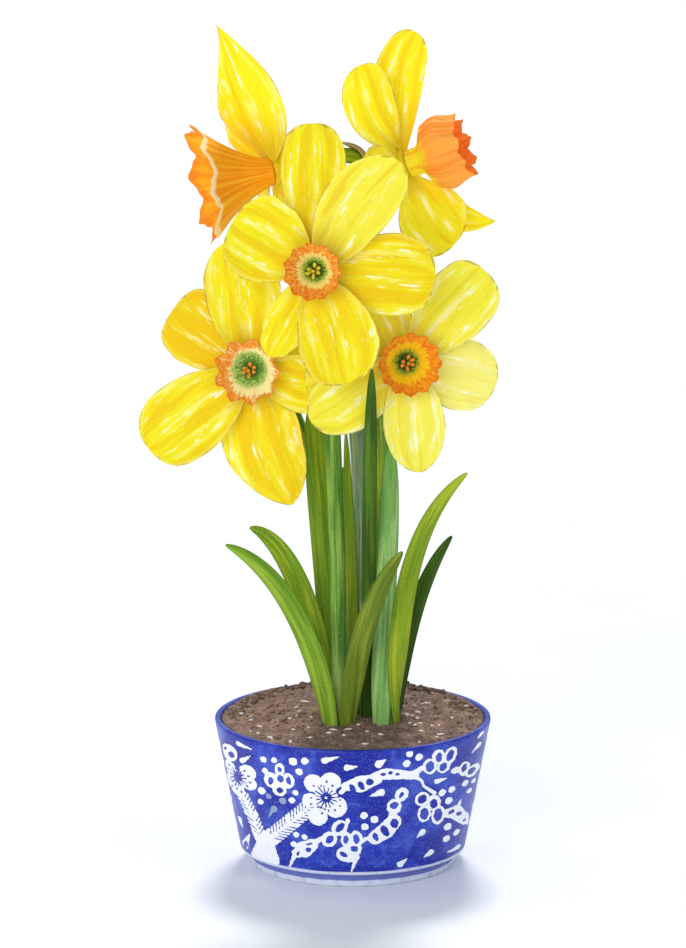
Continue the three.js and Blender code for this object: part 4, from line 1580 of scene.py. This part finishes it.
@dataclass(frozen=True)
class Cup:
    """The cup of a flower, from its throat to its ruffled mouth."""

    base: float
    mouth: float
    length: float
    lobes: int
    ruffle: float
    flare: float
    finish: Finish
    opens: tuple[float, float] = (0.0, 0.0)
    rows: int = 26
    columns: int = 192
    thickness: float = 0.8
    front: float = 1.3
    throat_r: float = 2.8
    throat_depth: float = 0.3
    plug: float = 6.7
    bulge: float = 0.0
    folds: float = 0.18
    turn: float = 0.0

    def turned(self, at: Vector) -> Vector:
        """A point of the wall after the cup's own slight turn to one side, which grows from its base."""
        share = eased(at.z, self.front, self.front + 0.5 * self.length)
        return Matrix.Rotation(math.radians(self.turn * share), 3, "Y") @ at

    def wall(self, side: float) -> Sheet:
        """The inside or outside of the wall, about +Z.

        Args:
            side: 1 for the inside and 0 for the outside.

        Returns:
            Its corners, from the base to the mouth.
        """
        rows: Sheet = []
        for row in range(self.rows + 1):
            along = row / self.rows
            frill = self.ruffle * along**3
            share = eased(along, *self.opens) if any(self.opens) else along**self.flare
            thick = self.thickness * mix(1, 0.45, along)
            inset = thick if side else (self.thickness - thick) * 0.5
            line = []
            for angle in turns(self.columns):
                turn = self.lobes * angle
                fine = 0.22 * frill * math.sin(3 * turn + 1.3 * math.sin(3 * angle))
                creases = 16 * angle + 1.6 * math.sin(3 * angle) + 2 * math.sin(2 * angle) * along
                ribs = self.folds * math.cos(creases) * math.sin(math.pi * along)
                radius = mix(self.base, self.mouth, share) + frill * math.cos(turn) + fine + ribs
                radius += self.bulge * math.sin(math.pi * eased(along, 0.3, 1.0))
                height = self.front + GAP + self.length * along + 0.9 * (frill * math.sin(turn + 1) + fine)
                at = about(angle, radius - inset, height)
                line.append(Corner(self.turned(at), (along, angle / math.pi, side), tuple(at)))
            rows.append(line)
        return rows

    def throat(self) -> Sheet:
        """The shallow funnel from the inside of the base down to the throat, over the flower's hub.

        Returns:
            Its corners, from the throat to the base.
        """
        rows: Sheet = []
        top = self.front + GAP
        lip = self.base - self.thickness
        profile = ((0.4, -self.throat_depth), (1.6, -self.throat_depth), (self.throat_r, 0.2))
        profile += ((3.1, 1.2), (3.3, top - 0.1), (mix(3.3, lip, 0.5), top - 0.05))
        for radius, height in profile:
            line = []
            for angle in turns(self.columns):
                at = about(angle, radius, height)
                line.append(Corner(at, (radius / lip - 1, angle / math.pi, 1.0), tuple(at)))
            rows.append(line)
        return rows

    def shell(self) -> Shell:
        """The whole cup, closed at the bottom of its throat and of the plug behind it.

        Returns:
            Its shell.
        """
        shell = Shell()
        outside = self.wall(0.0)
        rings = outside + (self.throat() + self.wall(1.0))[::-1]
        below = shell.grid(rings, closed=True)
        bottom = Corner(Vector((0, 0, -self.throat_depth)), (-1.0, 0.0, 1.0))
        shell.fan(bottom, below + (len(rings) - 1) * self.columns, self.columns)
        for height in (self.front + 0.05, -self.plug):
            ring = []
            for corner in outside[0]:
                inward = Vector((corner.at.x, corner.at.y, 0)).normalized() * (self.throat_r + 0.5)
                ring.append(Corner(inward + UP * height, corner.place, corner.grain))
            above, below = below, shell.add(ring)
            shell.band(above, below, self.columns)
        shell.fan(Corner(UP * -self.plug), below, self.columns)
        return shell


@dataclass(frozen=True)
class Stamens:
    """The style and six anthers that stand in a cup."""

    rise: float
    finish: Finish
    foot: float = -0.2
    anther_l: float = 3.4
    anther_r: float = 0.72
    spread: float = 2.9
    sides: int = 10

    def rod(
        self, shell: Shell, line: Sequence[Vector], radii: Sequence[float], places: Sequence[float],
    ) -> None:
        """Adds a round rod through points.

        Args:
            shell: where it is added.
            line: the points.
            radii: the radius at each.
            places: the share of the way to the anther at each.
        """
        rings: Sheet = []
        for i, point in enumerate(line):
            ahead = heading(line, i)
            across = (ACROSS - ahead * ahead.x).normalized()
            inward = ahead.cross(across)
            ring = [point + swung(across, inward, angle) * radii[i] for angle in turns(self.sides)]
            rings.append([Corner(at, (places[i], 0.0, 1.0), tuple(at)) for at in ring])
        shell.capped(rings)

    def shell(self) -> Shell:
        """All of them together.

        Returns:
            Their shells in one.
        """
        shell = Shell()
        top = self.rise + 1.2
        style = [UP * z for z in (self.foot, self.rise - 1, self.rise, self.rise + 0.6, top)]
        self.rod(shell, style, (0.4, 0.35, 0.5, 0.7, 0.3), (0, 0.2, 0.6, 0.8, 0.8))
        low, widest = self.rise - self.anther_l, self.anther_r
        heights = [self.foot] + [mix(low, self.rise, share) for share in (0, 0.25, 0.5, 0.8)] + [self.rise]
        radii = (0.28, 0.28, 0.8 * widest, widest, 0.9 * widest, 0.2)
        for i in range(6):
            out = about(math.pi * (i + 0.5 + 0.18 * math.sin(4 * i)) / 3)
            spread = self.spread * (1 + 0.14 * math.sin(2.3 * i))
            reaches = (1.2, 0.3 * spread + 0.3, 0.5 * spread, 0.7 * spread, 0.9 * spread, spread)
            line = [out * r + UP * z for r, z in zip(reaches, heights)]
            self.rod(shell, line, radii, (0, 0.3, 0.9, 1, 1, 1))
        return shell


@dataclass(frozen=True)
class Flower:
    """One flowering stem: its scape, bend and ovary, spathe, petals, cup and stamens."""

    name: str
    centre: Triple
    yaw: float
    pitch: float
    lean: Triple
    tepals: tuple[Tepal, ...]
    cup: Cup
    petal_finish: Finish
    green: Green
    stamen_finish: Finish
    spathe_finish: Finish = DrySkin("papery_spathe", Slot.SPATHE, "D8C498", "A07F4E")
    stem_r: float = 3.2
    ovary_r: float = 4.3
    ovary_l: float = 8.0
    tube_r: float = 3.7
    tube_l: float = 20.0
    bend_l: float = 11.0
    hub_r: float = 7.0
    sides: int = 24
    scape_rows: int = 60
    bend_rows: int = 16
    ovary_rows: int = 12
    sheath_rows: int = 28
    sheath_columns: int = 16
    sheath_thickness: float = 0.35

    def axes(self) -> tuple[Vector, Vector, Vector]:
        """Its directions.

        Returns:
            The ones to its right, up and out along its axis.
        """
        turn, tilt = math.radians(self.yaw), math.radians(self.pitch)
        out, right = from_front(turn, math.cos(tilt), math.sin(tilt)), about(turn)
        return right, out.cross(right), out

    def placed(self, at: Vector) -> Vector:
        """Where a point about +Z goes on this flower."""
        right, up, out = self.axes()
        return Vector(self.centre) + right * at.x + up * at.y + out * at.z

    def behind(self, distance: float) -> Vector:
        """The point a distance behind the middle of the flower."""
        return Vector(self.centre) - self.axes()[2] * distance

    def bend(self) -> Bezier:
        """The line of the neck.

        Returns:
            The curve, round from the scape to the ovary.
        """
        back = self.tube_l + GAP + self.ovary_l
        elbow = self.behind(back + self.bend_l)
        neck = elbow - Vector(self.lean).normalized() * self.bend_l
        return Bezier((neck, elbow, self.behind(back)))

    def stem_line(self) -> tuple[list[Vector], list[float]]:
        """The line of the stem.

        Returns:
            Points up the scape, round the bend and along the ovary, and the radius at each.
        """
        bend = self.bend()
        neck, root = bend.points[0], Vector((*SHOOTS[self.name], NOSE_Z + GAP))
        lean = Vector(self.lean).normalized()
        scape = Bezier((root, root + UP * 95, neck - lean * 70, neck))
        points = [scape.at(i / self.scape_rows) for i in range(self.scape_rows + 1)]
        points += [bend.at(i / self.bend_rows) for i in range(1, self.bend_rows + 1)]
        radii = [self.stem_r] * len(points)
        back = self.tube_l + GAP + self.ovary_l
        for i in range(1, self.ovary_rows + 1):
            share = i / self.ovary_rows
            points.append(self.behind(back - self.ovary_l * share))
            swell = math.sin(math.pi * min(share * 1.05, 1)) ** 0.7
            radii.append(mix(mix(self.stem_r, self.tube_r, share), self.ovary_r, swell))
        return points, radii

    def stem(self) -> Shell:
        """The scape, its bend and the ovary, faintly ribbed.

        Returns:
            Their shell.
        """
        points, radii = self.stem_line()
        across, run = ACROSS, 0.0
        rings: Sheet = []
        for i, point in enumerate(points):
            ahead = heading(points, i)
            across = (across - ahead * across.dot(ahead)).normalized()
            inward = ahead.cross(across)
            run += (point - points[i - 1]).length if i else 0
            ring = []
            for angle in turns(self.sides):
                radius = radii[i] * (1 + 0.025 * math.cos(6 * angle))
                turned = 1 - abs(angle / math.pi - 1)
                grain = (run, turned * math.pi * self.stem_r, 31.0 * len(self.name))
                at = point + swung(across, inward, angle) * radius
                ring.append(Corner(at, (i / len(points), 0.0, 1.0), grain))
            rings.append(ring)
        return Shell().capped(rings)

    def spathe(self) -> Shell:
        """The papery sheath that clasps the outer side of the bend and runs out to a point.

        Returns:
            Its shell.
        """
        bend = self.bend()
        first, middle, last = bend.points
        outward = middle * 2 - first - last
        rows: list[list[Pair]] = []
        for row in range(self.sheath_rows + 1):
            along = row / self.sheath_rows
            at, ahead = bend.at(along), bend.ahead(along)
            away = (outward - ahead * outward.dot(ahead)).normalized()
            beside = ahead.cross(away)
            spread = mix(math.radians(105), math.radians(9), along**1.4)
            line = []
            for column in range(self.sheath_columns + 1):
                across = 2 * column / self.sheath_columns - 1
                direction = swung(away, beside, spread * across)
                crease = 0.22 * math.sin(7 * across + 5 * along) * along
                clear = self.stem_r + 2 * GAP + 2 * along**2 + crease
                grain = (24 * along, 6 * across * (1.2 - along), 5.0 * len(self.name))
                line.append(tuple(
                    Corner(at + direction * (clear + lift), (along, across, side), grain)
                    for lift, side in ((self.sheath_thickness, 1.0), (0.0, 0.0))
                ))
            rows.append(line)
        return Shell().walled(rows)

    def petals(self) -> Shell:
        """The six petals and the tube behind them.

        Returns:
            Their shells in one.
        """
        profile = ((0.2, -self.tube_l), (self.tube_r, -self.tube_l), (self.tube_r, -15))
        profile += ((self.tube_r + 0.1, -9), (4.6, -5), (5.8, -2.6), (6.5, -1.4), (self.hub_r, 0.2))
        profile += ((self.hub_r - 0.3, 1.0), (3.5, 1.2), (3.45, -6.8), (0.1, -6.9))
        rings: Sheet = []
        for radius, z in profile:
            # The hub and tube sit at the root's place, so the finish gives them the petals' painted root shade.
            corners = [
                Corner(about(angle, radius, z), (0.05, 0.0, 0.0), (z, 4 * angle, 7.0), (0.2, 0.0, 0.0))
                for angle in turns(self.sides)
            ]
            rings.append(corners)
        shell = Shell().capped(rings)
        for tepal in self.tepals:
            shell.join(tepal.shell())
        return shell

    def around(self, corner: Corner) -> Triple:
        """A cup's corner by its bearing round the cup and how far along it is."""
        angle = corner.place[1] * math.pi
        return (math.cos(angle), math.sin(angle), corner.place[0] + len(self.name))

    def build(self) -> None:
        """Makes the five pieces of this shoot."""
        name = self.name
        stem_finish = Greenery(f"{self.green.name.lower()}_stem", Slot.STEM, self.green, 0.0)
        self.stem().piece(f"flower_stem_{name}", stem_finish, f"stem_{name}")
        self.spathe().piece(f"sheath_{name}", self.spathe_finish, f"spathe_{name}")
        petals, cup = self.petals().moved(self.placed), self.cup.shell().moved(self.placed)
        petals.piece(f"flower_petals_{name}", self.petal_finish, f"petals_{name}")
        cup.piece(f"flower_cup_{name}", self.cup.finish, f"cup_{name}", around=self.around)
        rise = min(self.cup.length * 0.7, 14)
        stamens = Stamens(rise, self.stamen_finish).shell().moved(self.placed)
        stamens.piece(f"flower_stamens_{name}", self.stamen_finish, f"stamens_{name}")


@dataclass(frozen=True)
class Leaf:
    """A strap leaf that rises beside its shoot's stem and arches to its tip."""

    number: int
    shoot: str
    side: float
    pull: Triple
    tip: Triple
    half: float
    green: Green
    faces: float = 90.0
    square: float = 2.6
    stand_off: float = 4.9
    base_half: float = 3.0
    rise: float = 32.0
    widest: float = 0.4
    turned_by: float = 0.5
    core: Spot = (1.0, 0.45)
    edge: Spot = (0.35, 0.22)
    rows: int = 72
    columns: int = 14

    def outline(self, along: float) -> float:
        """Half its width.

        Args:
            along: the share of its length.

        Returns:
            The half width there.
        """
        if along < self.widest:
            return mix(self.base_half, self.half, eased(along, 0, self.widest))
        onward = (along - self.widest) / (1 - self.widest)
        return mix(0.3, self.half, max(1 - onward**self.square, 0) ** 0.65)

    def shell(self) -> Shell:
        """The blade, channelled down its middle.

        Returns:
            Its shell.
        """
        root = Vector((*SHOOTS[self.shoot], NOSE_Z + GAP)) + about(math.radians(self.side)) * self.stand_off
        swing = (self.faces - self.side) % 360 - 180
        curve = Bezier((root, root + UP * self.rise, Vector(self.pull), Vector(self.tip)))
        run, last = 0.0, root
        rows: list[list[Pair]] = []
        for row in range(self.rows + 1):
            along = 1 - (1 - row / self.rows) ** 1.5
            point, ahead = curve.at(along), curve.ahead(along)
            run += (point - last).length
            last = point
            face = about(math.radians(self.side + 180 + swing * eased(along, 0, self.turned_by)))
            face = (face - ahead * face.dot(ahead)).normalized()
            beside = face.cross(ahead)
            width = self.outline(along)
            core, edge = mix(*self.core, along), mix(*self.edge, along)
            line = []
            for column in range(self.columns + 1):
                across = 2 * column / self.columns - 1
                channel = 0.26 * width * abs(across) ** 1.3
                thick = core * (1 - abs(across)) + edge * abs(across)
                ribs = 0.05 * math.cos(11 * across)
                grain = (run, width * across, 17.0 * self.number)
                middle = point + beside * (width * across)
                line.append(tuple(
                    Corner(middle + face * (channel + way * thick + ribs), (along, across, side), grain)
                    for way, side in ((1, 1.0), (-1, 0.0))
                ))
            rows.append(line)
        return Shell().walled(rows)

    def build(self) -> None:
        """Makes the leaf."""
        finish = Greenery(f"leaf_{self.green.name.lower()}", Slot.LEAF, self.green)
        self.shell().piece(f"strap_leaf_{self.number:02d}", finish, f"leaf_{self.number:02d}")


GOLDEN_PETAL = PetalSkin("golden_petal", Slot.PETAL, Yellow.GOLDEN)
# The top flowers' petals give off more light of their own, a painted light that brightens them.
BRIGHTER_GLOW_PETAL = PetalSkin("brighter_glow_petal", Slot.PETAL, Yellow.GOLDEN, 0.2)
LEMON_PETAL = PetalSkin("lemon_petal", Slot.PETAL, Yellow.LEMON)
YELLOW_POLLEN = Pollen("yellow_pollen", Slot.STAMEN)
ORANGE_POLLEN = Pollen("orange_pollen", Slot.STAMEN, "F4A83C", "D9761C", "4E8A2A")

FLOWERS = (
    Flower(
        "front", (-15.4, -47, 260), -6, 6, (-0.04, 0.05, 1),
        (
            Tepal(150, 38.5, 18, 3, -4, True, 0.4, gold=0.3),
            Tepal(92, 59, 13.5, -5, 4, False, 0.35, gold=0.6),
            Tepal(53, 56, 14.5, 3, -4, True, sway=2.5, gold=-0.3),
            Tepal(-3, 48.5, 17, -3, -4, False, 0.4, gold=0.7),
            Tepal(-73, 47.5, 16.5, 3, -2, True, 0.4, sway=1.5, gold=0.6),
            Tepal(-118, 42, 9, -10, -4, False, gold=0.4),
        ),
        Cup(5.6, 11.6, 9, 11, 0.55, 0.8, CupSkin("front_cup", Slot.CUP)),
        GOLDEN_PETAL, Green.SAGE, YELLOW_POLLEN,
    ),
    Flower(
        "lower_left", (-41.6, -20, 213.8), -10, 4, (-0.42, 0.12, 1),
        (
            Tepal(219, 54.5, 16.5, 4, -6, True, 0.4, gold=0.6),
            Tepal(-74, 59, 17, -4, -2, False, 0.7, sway=-4.5, gold=0.75),
            Tepal(147, 41, 16, -4, -6, False, 0.3, gold=1.0),
            Tepal(96, 53, 16, 4, -8, True, 0.4, gold=0.5),
            Tepal(-14, 36, 12, 3, -8, True, gold=0.3),
            Tepal(38, 40, 13, -6, -6, False, gold=0.2),
        ),
        Cup(5.8, 13, 8.5, 9, 1.1, 0.8, CupSkin(
            "lower_left_cup", Slot.CUP, mouth="F3A040", rim="DE741E", wall="F5ECA6", throat="A8C463",
            deep="4A7A2A", mouth_from=0.56, teeth=0.35, throat_to=0.2, heavy=(-0.22, 0.1),
        )),
        GOLDEN_PETAL, Green.MOSS, ORANGE_POLLEN,
    ),
    Flower(
        "lower_right", (21.5, -30, 218.8), 10, 4, (0.03, 0.02, 1),
        (
            Tepal(48, 49.1, 15, 3, -4, True, 0.35, gold=0.1),
            Tepal(-16, 39.9, 15, -4, -2, False, 0.45, gold=-0.4),
            Tepal(-84, 46, 13, 3, -6, True, 0.6, gold=-0.2),
            Tepal(210, 46, 14, 2, -4, True, gold=0.2),
            Tepal(192, 42, 13, -5, 0, False, gold=0.1),
            Tepal(118, 42, 14, -5, -4, False, gold=0.1),
        ),
        Cup(5.8, 12.8, 8, 12, 0.7, 0.8, CupSkin(
            "lower_right_cup", Slot.CUP, mouth="EC9220", rim="D4641A", wall="F2C41A", throat="8EA024",
            deep="3A5420", mouth_from=0.42, teeth=0.3,
        )),
        LEMON_PETAL, Green.LIGHT, ORANGE_POLLEN,
    ),
    Flower(
        "upper_left", (-32.4, 0, 292.3), -70, -9, (0, 0.1, 1),
        (
            Tepal(90, 68, 14, -6, 38, True, 1.3, 75, 4, gold=0.2),
            Tepal(128, 34, 12, -4, 42, False, twist=60, gold=0.1),
            Tepal(196, 44, 15, -3, -10, True, gold=0.2),
            Tepal(-100, 40, 14, -6, -8, False, gold=0.5),
            Tepal(-38, 36, 13, -30, -12, True, gold=0.5),
            Tepal(28, 28, 12, -32, -8, False, gold=0.5),
        ),
        Cup(5.8, 24, 28, 8, 1.8, 1.5, CupSkin(
            "upper_left_cup", Slot.CUP, mouth="F6A41C", rim="EC7E1A", wall="FAC634", throat="E08C1E",
            deep="A8641A", outside="F7A21A", mouth_from=0.5, outer_line=0.8,
        ), turn=-8),
        BRIGHTER_GLOW_PETAL, Green.OLIVE, YELLOW_POLLEN,
    ),
    Flower(
        "upper_right", (21.5, 20, 291.4), 80, 20, (-0.25, 0.25, 1),
        (
            Tepal(95, 45.5, 11, -3, 0, False, 0.4, -75, 3, gold=0.2),
            Tepal(72, 57, 10.5, -3, 50, True, 0.4, -75, gold=0.4),
            Tepal(2, 34, 12, -8, -4, True, gold=0.4),
            Tepal(-70, 50, 8.5, 0, 76, False, 1, 60, gold=0.3),
            Tepal(-92, 39, 15, -3, 34, True, 0.4, 70, gold=-0.1),
            Tepal(172, 30, 11, -20, -8, False, gold=0.4),
        ),
        Cup(5.6, 12.8, 24.6, 9, 1.1, 0.5, CupSkin(
            "upper_right_cup", Slot.CUP, mouth="FBA244", rim="EE7C2C", wall="FCB258", throat="EA7A30",
            deep="B0541E", outside="F3E032", mouth_from=0.32, teeth=0.1, glow=0.14,
        ), (0.2, 0.4), bulge=2.8, folds=0.5),
        BRIGHTER_GLOW_PETAL, Green.GREY, YELLOW_POLLEN,
    ),
)

LEAVES = (
    Leaf(1, "front", 232, (-22, -33, 130), (-51.9, -42, 144.8), 4.4, Green.GRASS, 95),
    Leaf(2, "front", 125, (-21, -8, 140), (-42.7, 6, 141), 4.9, Green.OLIVE, 275),
    Leaf(3, "front", 310, (4, -42, 120), (20, -55, 145), 4.6, Green.BRONZE, 95),
    Leaf(4, "upper_right", 288, (6, -26, 140), (7.6, -47, 219), 3.0, Green.DARK, square=7),
    Leaf(5, "upper_left", 16, (14, -38, 146), (46.5, -40, 174.4), 4.3, Green.OLIVE, 100),
    Leaf(6, "lower_right", 320, (25, -2, 118), (41.1, 2, 138.4), 3.5, Green.DARK, 95),
    Leaf(7, "lower_left", 265, (-12, 0, 140), (-17, -3, 196), 5.6, Green.MOSS, square=7),
    Leaf(8, "lower_left", 180, (-15, 14, 104), (-14, 46, 122), 4.4, Green.MID, 330),
    Leaf(9, "lower_left", 80, (-2, 28, 126), (-4, 54, 156), 4.8, Green.MID, 262),
    Leaf(10, "upper_right", 180, (-2, -6, 130), (-3, -7, 184), 3.6, Green.OLIVE, 45),
    Leaf(11, "upper_right", 90, (5, 13, 130), (6, 26, 186), 4.6, Green.GREY, 262),
    Leaf(12, "upper_left", 230, (16.2, -23.5, 130), (15.6, -22, 183), 4.6, Green.LIGHT, 116, 7),
    Leaf(13, "lower_right", 45, (23, 20, 104), (23, 48, 114), 4.2, Green.MID, 225),
    Leaf(14, "lower_right", 140, (9, 28, 126), (8, 58, 150), 4.2, Green.MOSS, 275),
)


@dataclass(frozen=True)
class Sun:
    """A distant lamp; its angles are in degrees, and it stands round from the front towards the right."""

    name: str
    azimuth: float
    elevation: float
    strength: float
    softness: float
    colour: Triple

    def build(self) -> None:
        """Sets it up."""
        lamp = bpy.data.lights.new(self.name, "SUN")
        lamp.energy, lamp.color, lamp.angle = self.strength, self.colour, math.radians(self.softness)
        turn, rise = math.radians(self.azimuth), math.radians(self.elevation)
        towards = from_front(turn, math.cos(rise), math.sin(rise))
        shown(self.name, lamp).rotation_euler = towards.to_track_quat("Z", "Y").to_euler()


@dataclass(frozen=True)
class Studio:
    """The floor, the lights and the camera."""

    floor_half: float = 9.0
    lens: float = 250.0
    sensor: float = 36.0
    reach: float = 60.0
    elevation: float = 12.5
    distance: float = 2.7235
    target: Triple = (-0.0041, 0.0, 0.1652)
    sky: Colour = (0.8, 0.91, 1.04, 1.0)
    sky_strength: float = 0.58
    key: Sun = Sun("key", 176, 50, 2.1, 16, (1.0, 0.98, 0.94))
    fill: Sun = Sun("fill", -24, 14, 1.3, 45, (1.0, 0.97, 0.92))
    floor: Finish = PaleFloor("pale_floor", Slot.GLAZE)

    def world(self) -> None:
        """Lights the scene evenly from all round, a little blue."""
        world = bpy.data.worlds.new("even_light")
        world.use_nodes = True
        sky = world.node_tree.nodes["Background"]
        sky.inputs["Color"].default_value = self.sky
        sky.inputs["Strength"].default_value = self.sky_strength
        bpy.context.scene.world = world
        bpy.context.scene.view_settings.view_transform = "Standard"

    def camera(self) -> None:
        """Sets the camera at the height and distance from which the plant was seen."""
        lens = bpy.data.cameras.new("camera")
        lens.lens, lens.sensor_width, lens.clip_end = self.lens, self.sensor, self.reach
        rise = math.radians(self.elevation)
        back = from_front(0, math.cos(rise), math.sin(rise))
        camera = shown("camera", lens)
        camera.location = Vector(self.target) + back * self.distance
        camera.rotation_euler = back.to_track_quat("Z", "Y").to_euler()
        bpy.context.scene.camera = camera

    def build(self) -> None:
        """Sets up the stage."""
        half = self.floor_half
        mesh = bpy.data.meshes.new("floor")
        corners = [(-half, -half, 0), (half, -half, 0), (half, half, 0), (-half, half, 0)]
        mesh.from_pydata(corners, [], [(0, 1, 2, 3)])
        mesh.materials.append(material_of(self.floor))
        floor = shown("floor", mesh)
        self.world()
        self.key.build()
        self.fill.build()
        self.camera()
        LOG.info("studio set")


def dress_bulbs() -> None:
    """Gives the buried bulbs their skin."""
    finish = DrySkin("bulb_skin", Slot.BULB_SKIN, "B98A52", "70441F", (0.9, 0.9, 0.06), on_solid=True)
    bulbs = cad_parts["bulb_clump"]
    bulbs.data.materials.clear()
    bulbs.data.materials.append(material_of(finish))
    LOG.info("bulbs dressed")


def main() -> None:
    """Builds every piece in order."""
    logging.basicConfig(level=logging.INFO, format="%(message)s")
    pot = Pot()
    pot.build()
    PotPainting(pot).build()
    Soil(pot).build()
    dress_bulbs()
    for flower in FLOWERS:
        flower.build()
    for leaf in LEAVES:
        leaf.build()
    Studio().build()


if __name__ == "__main__":
    main()
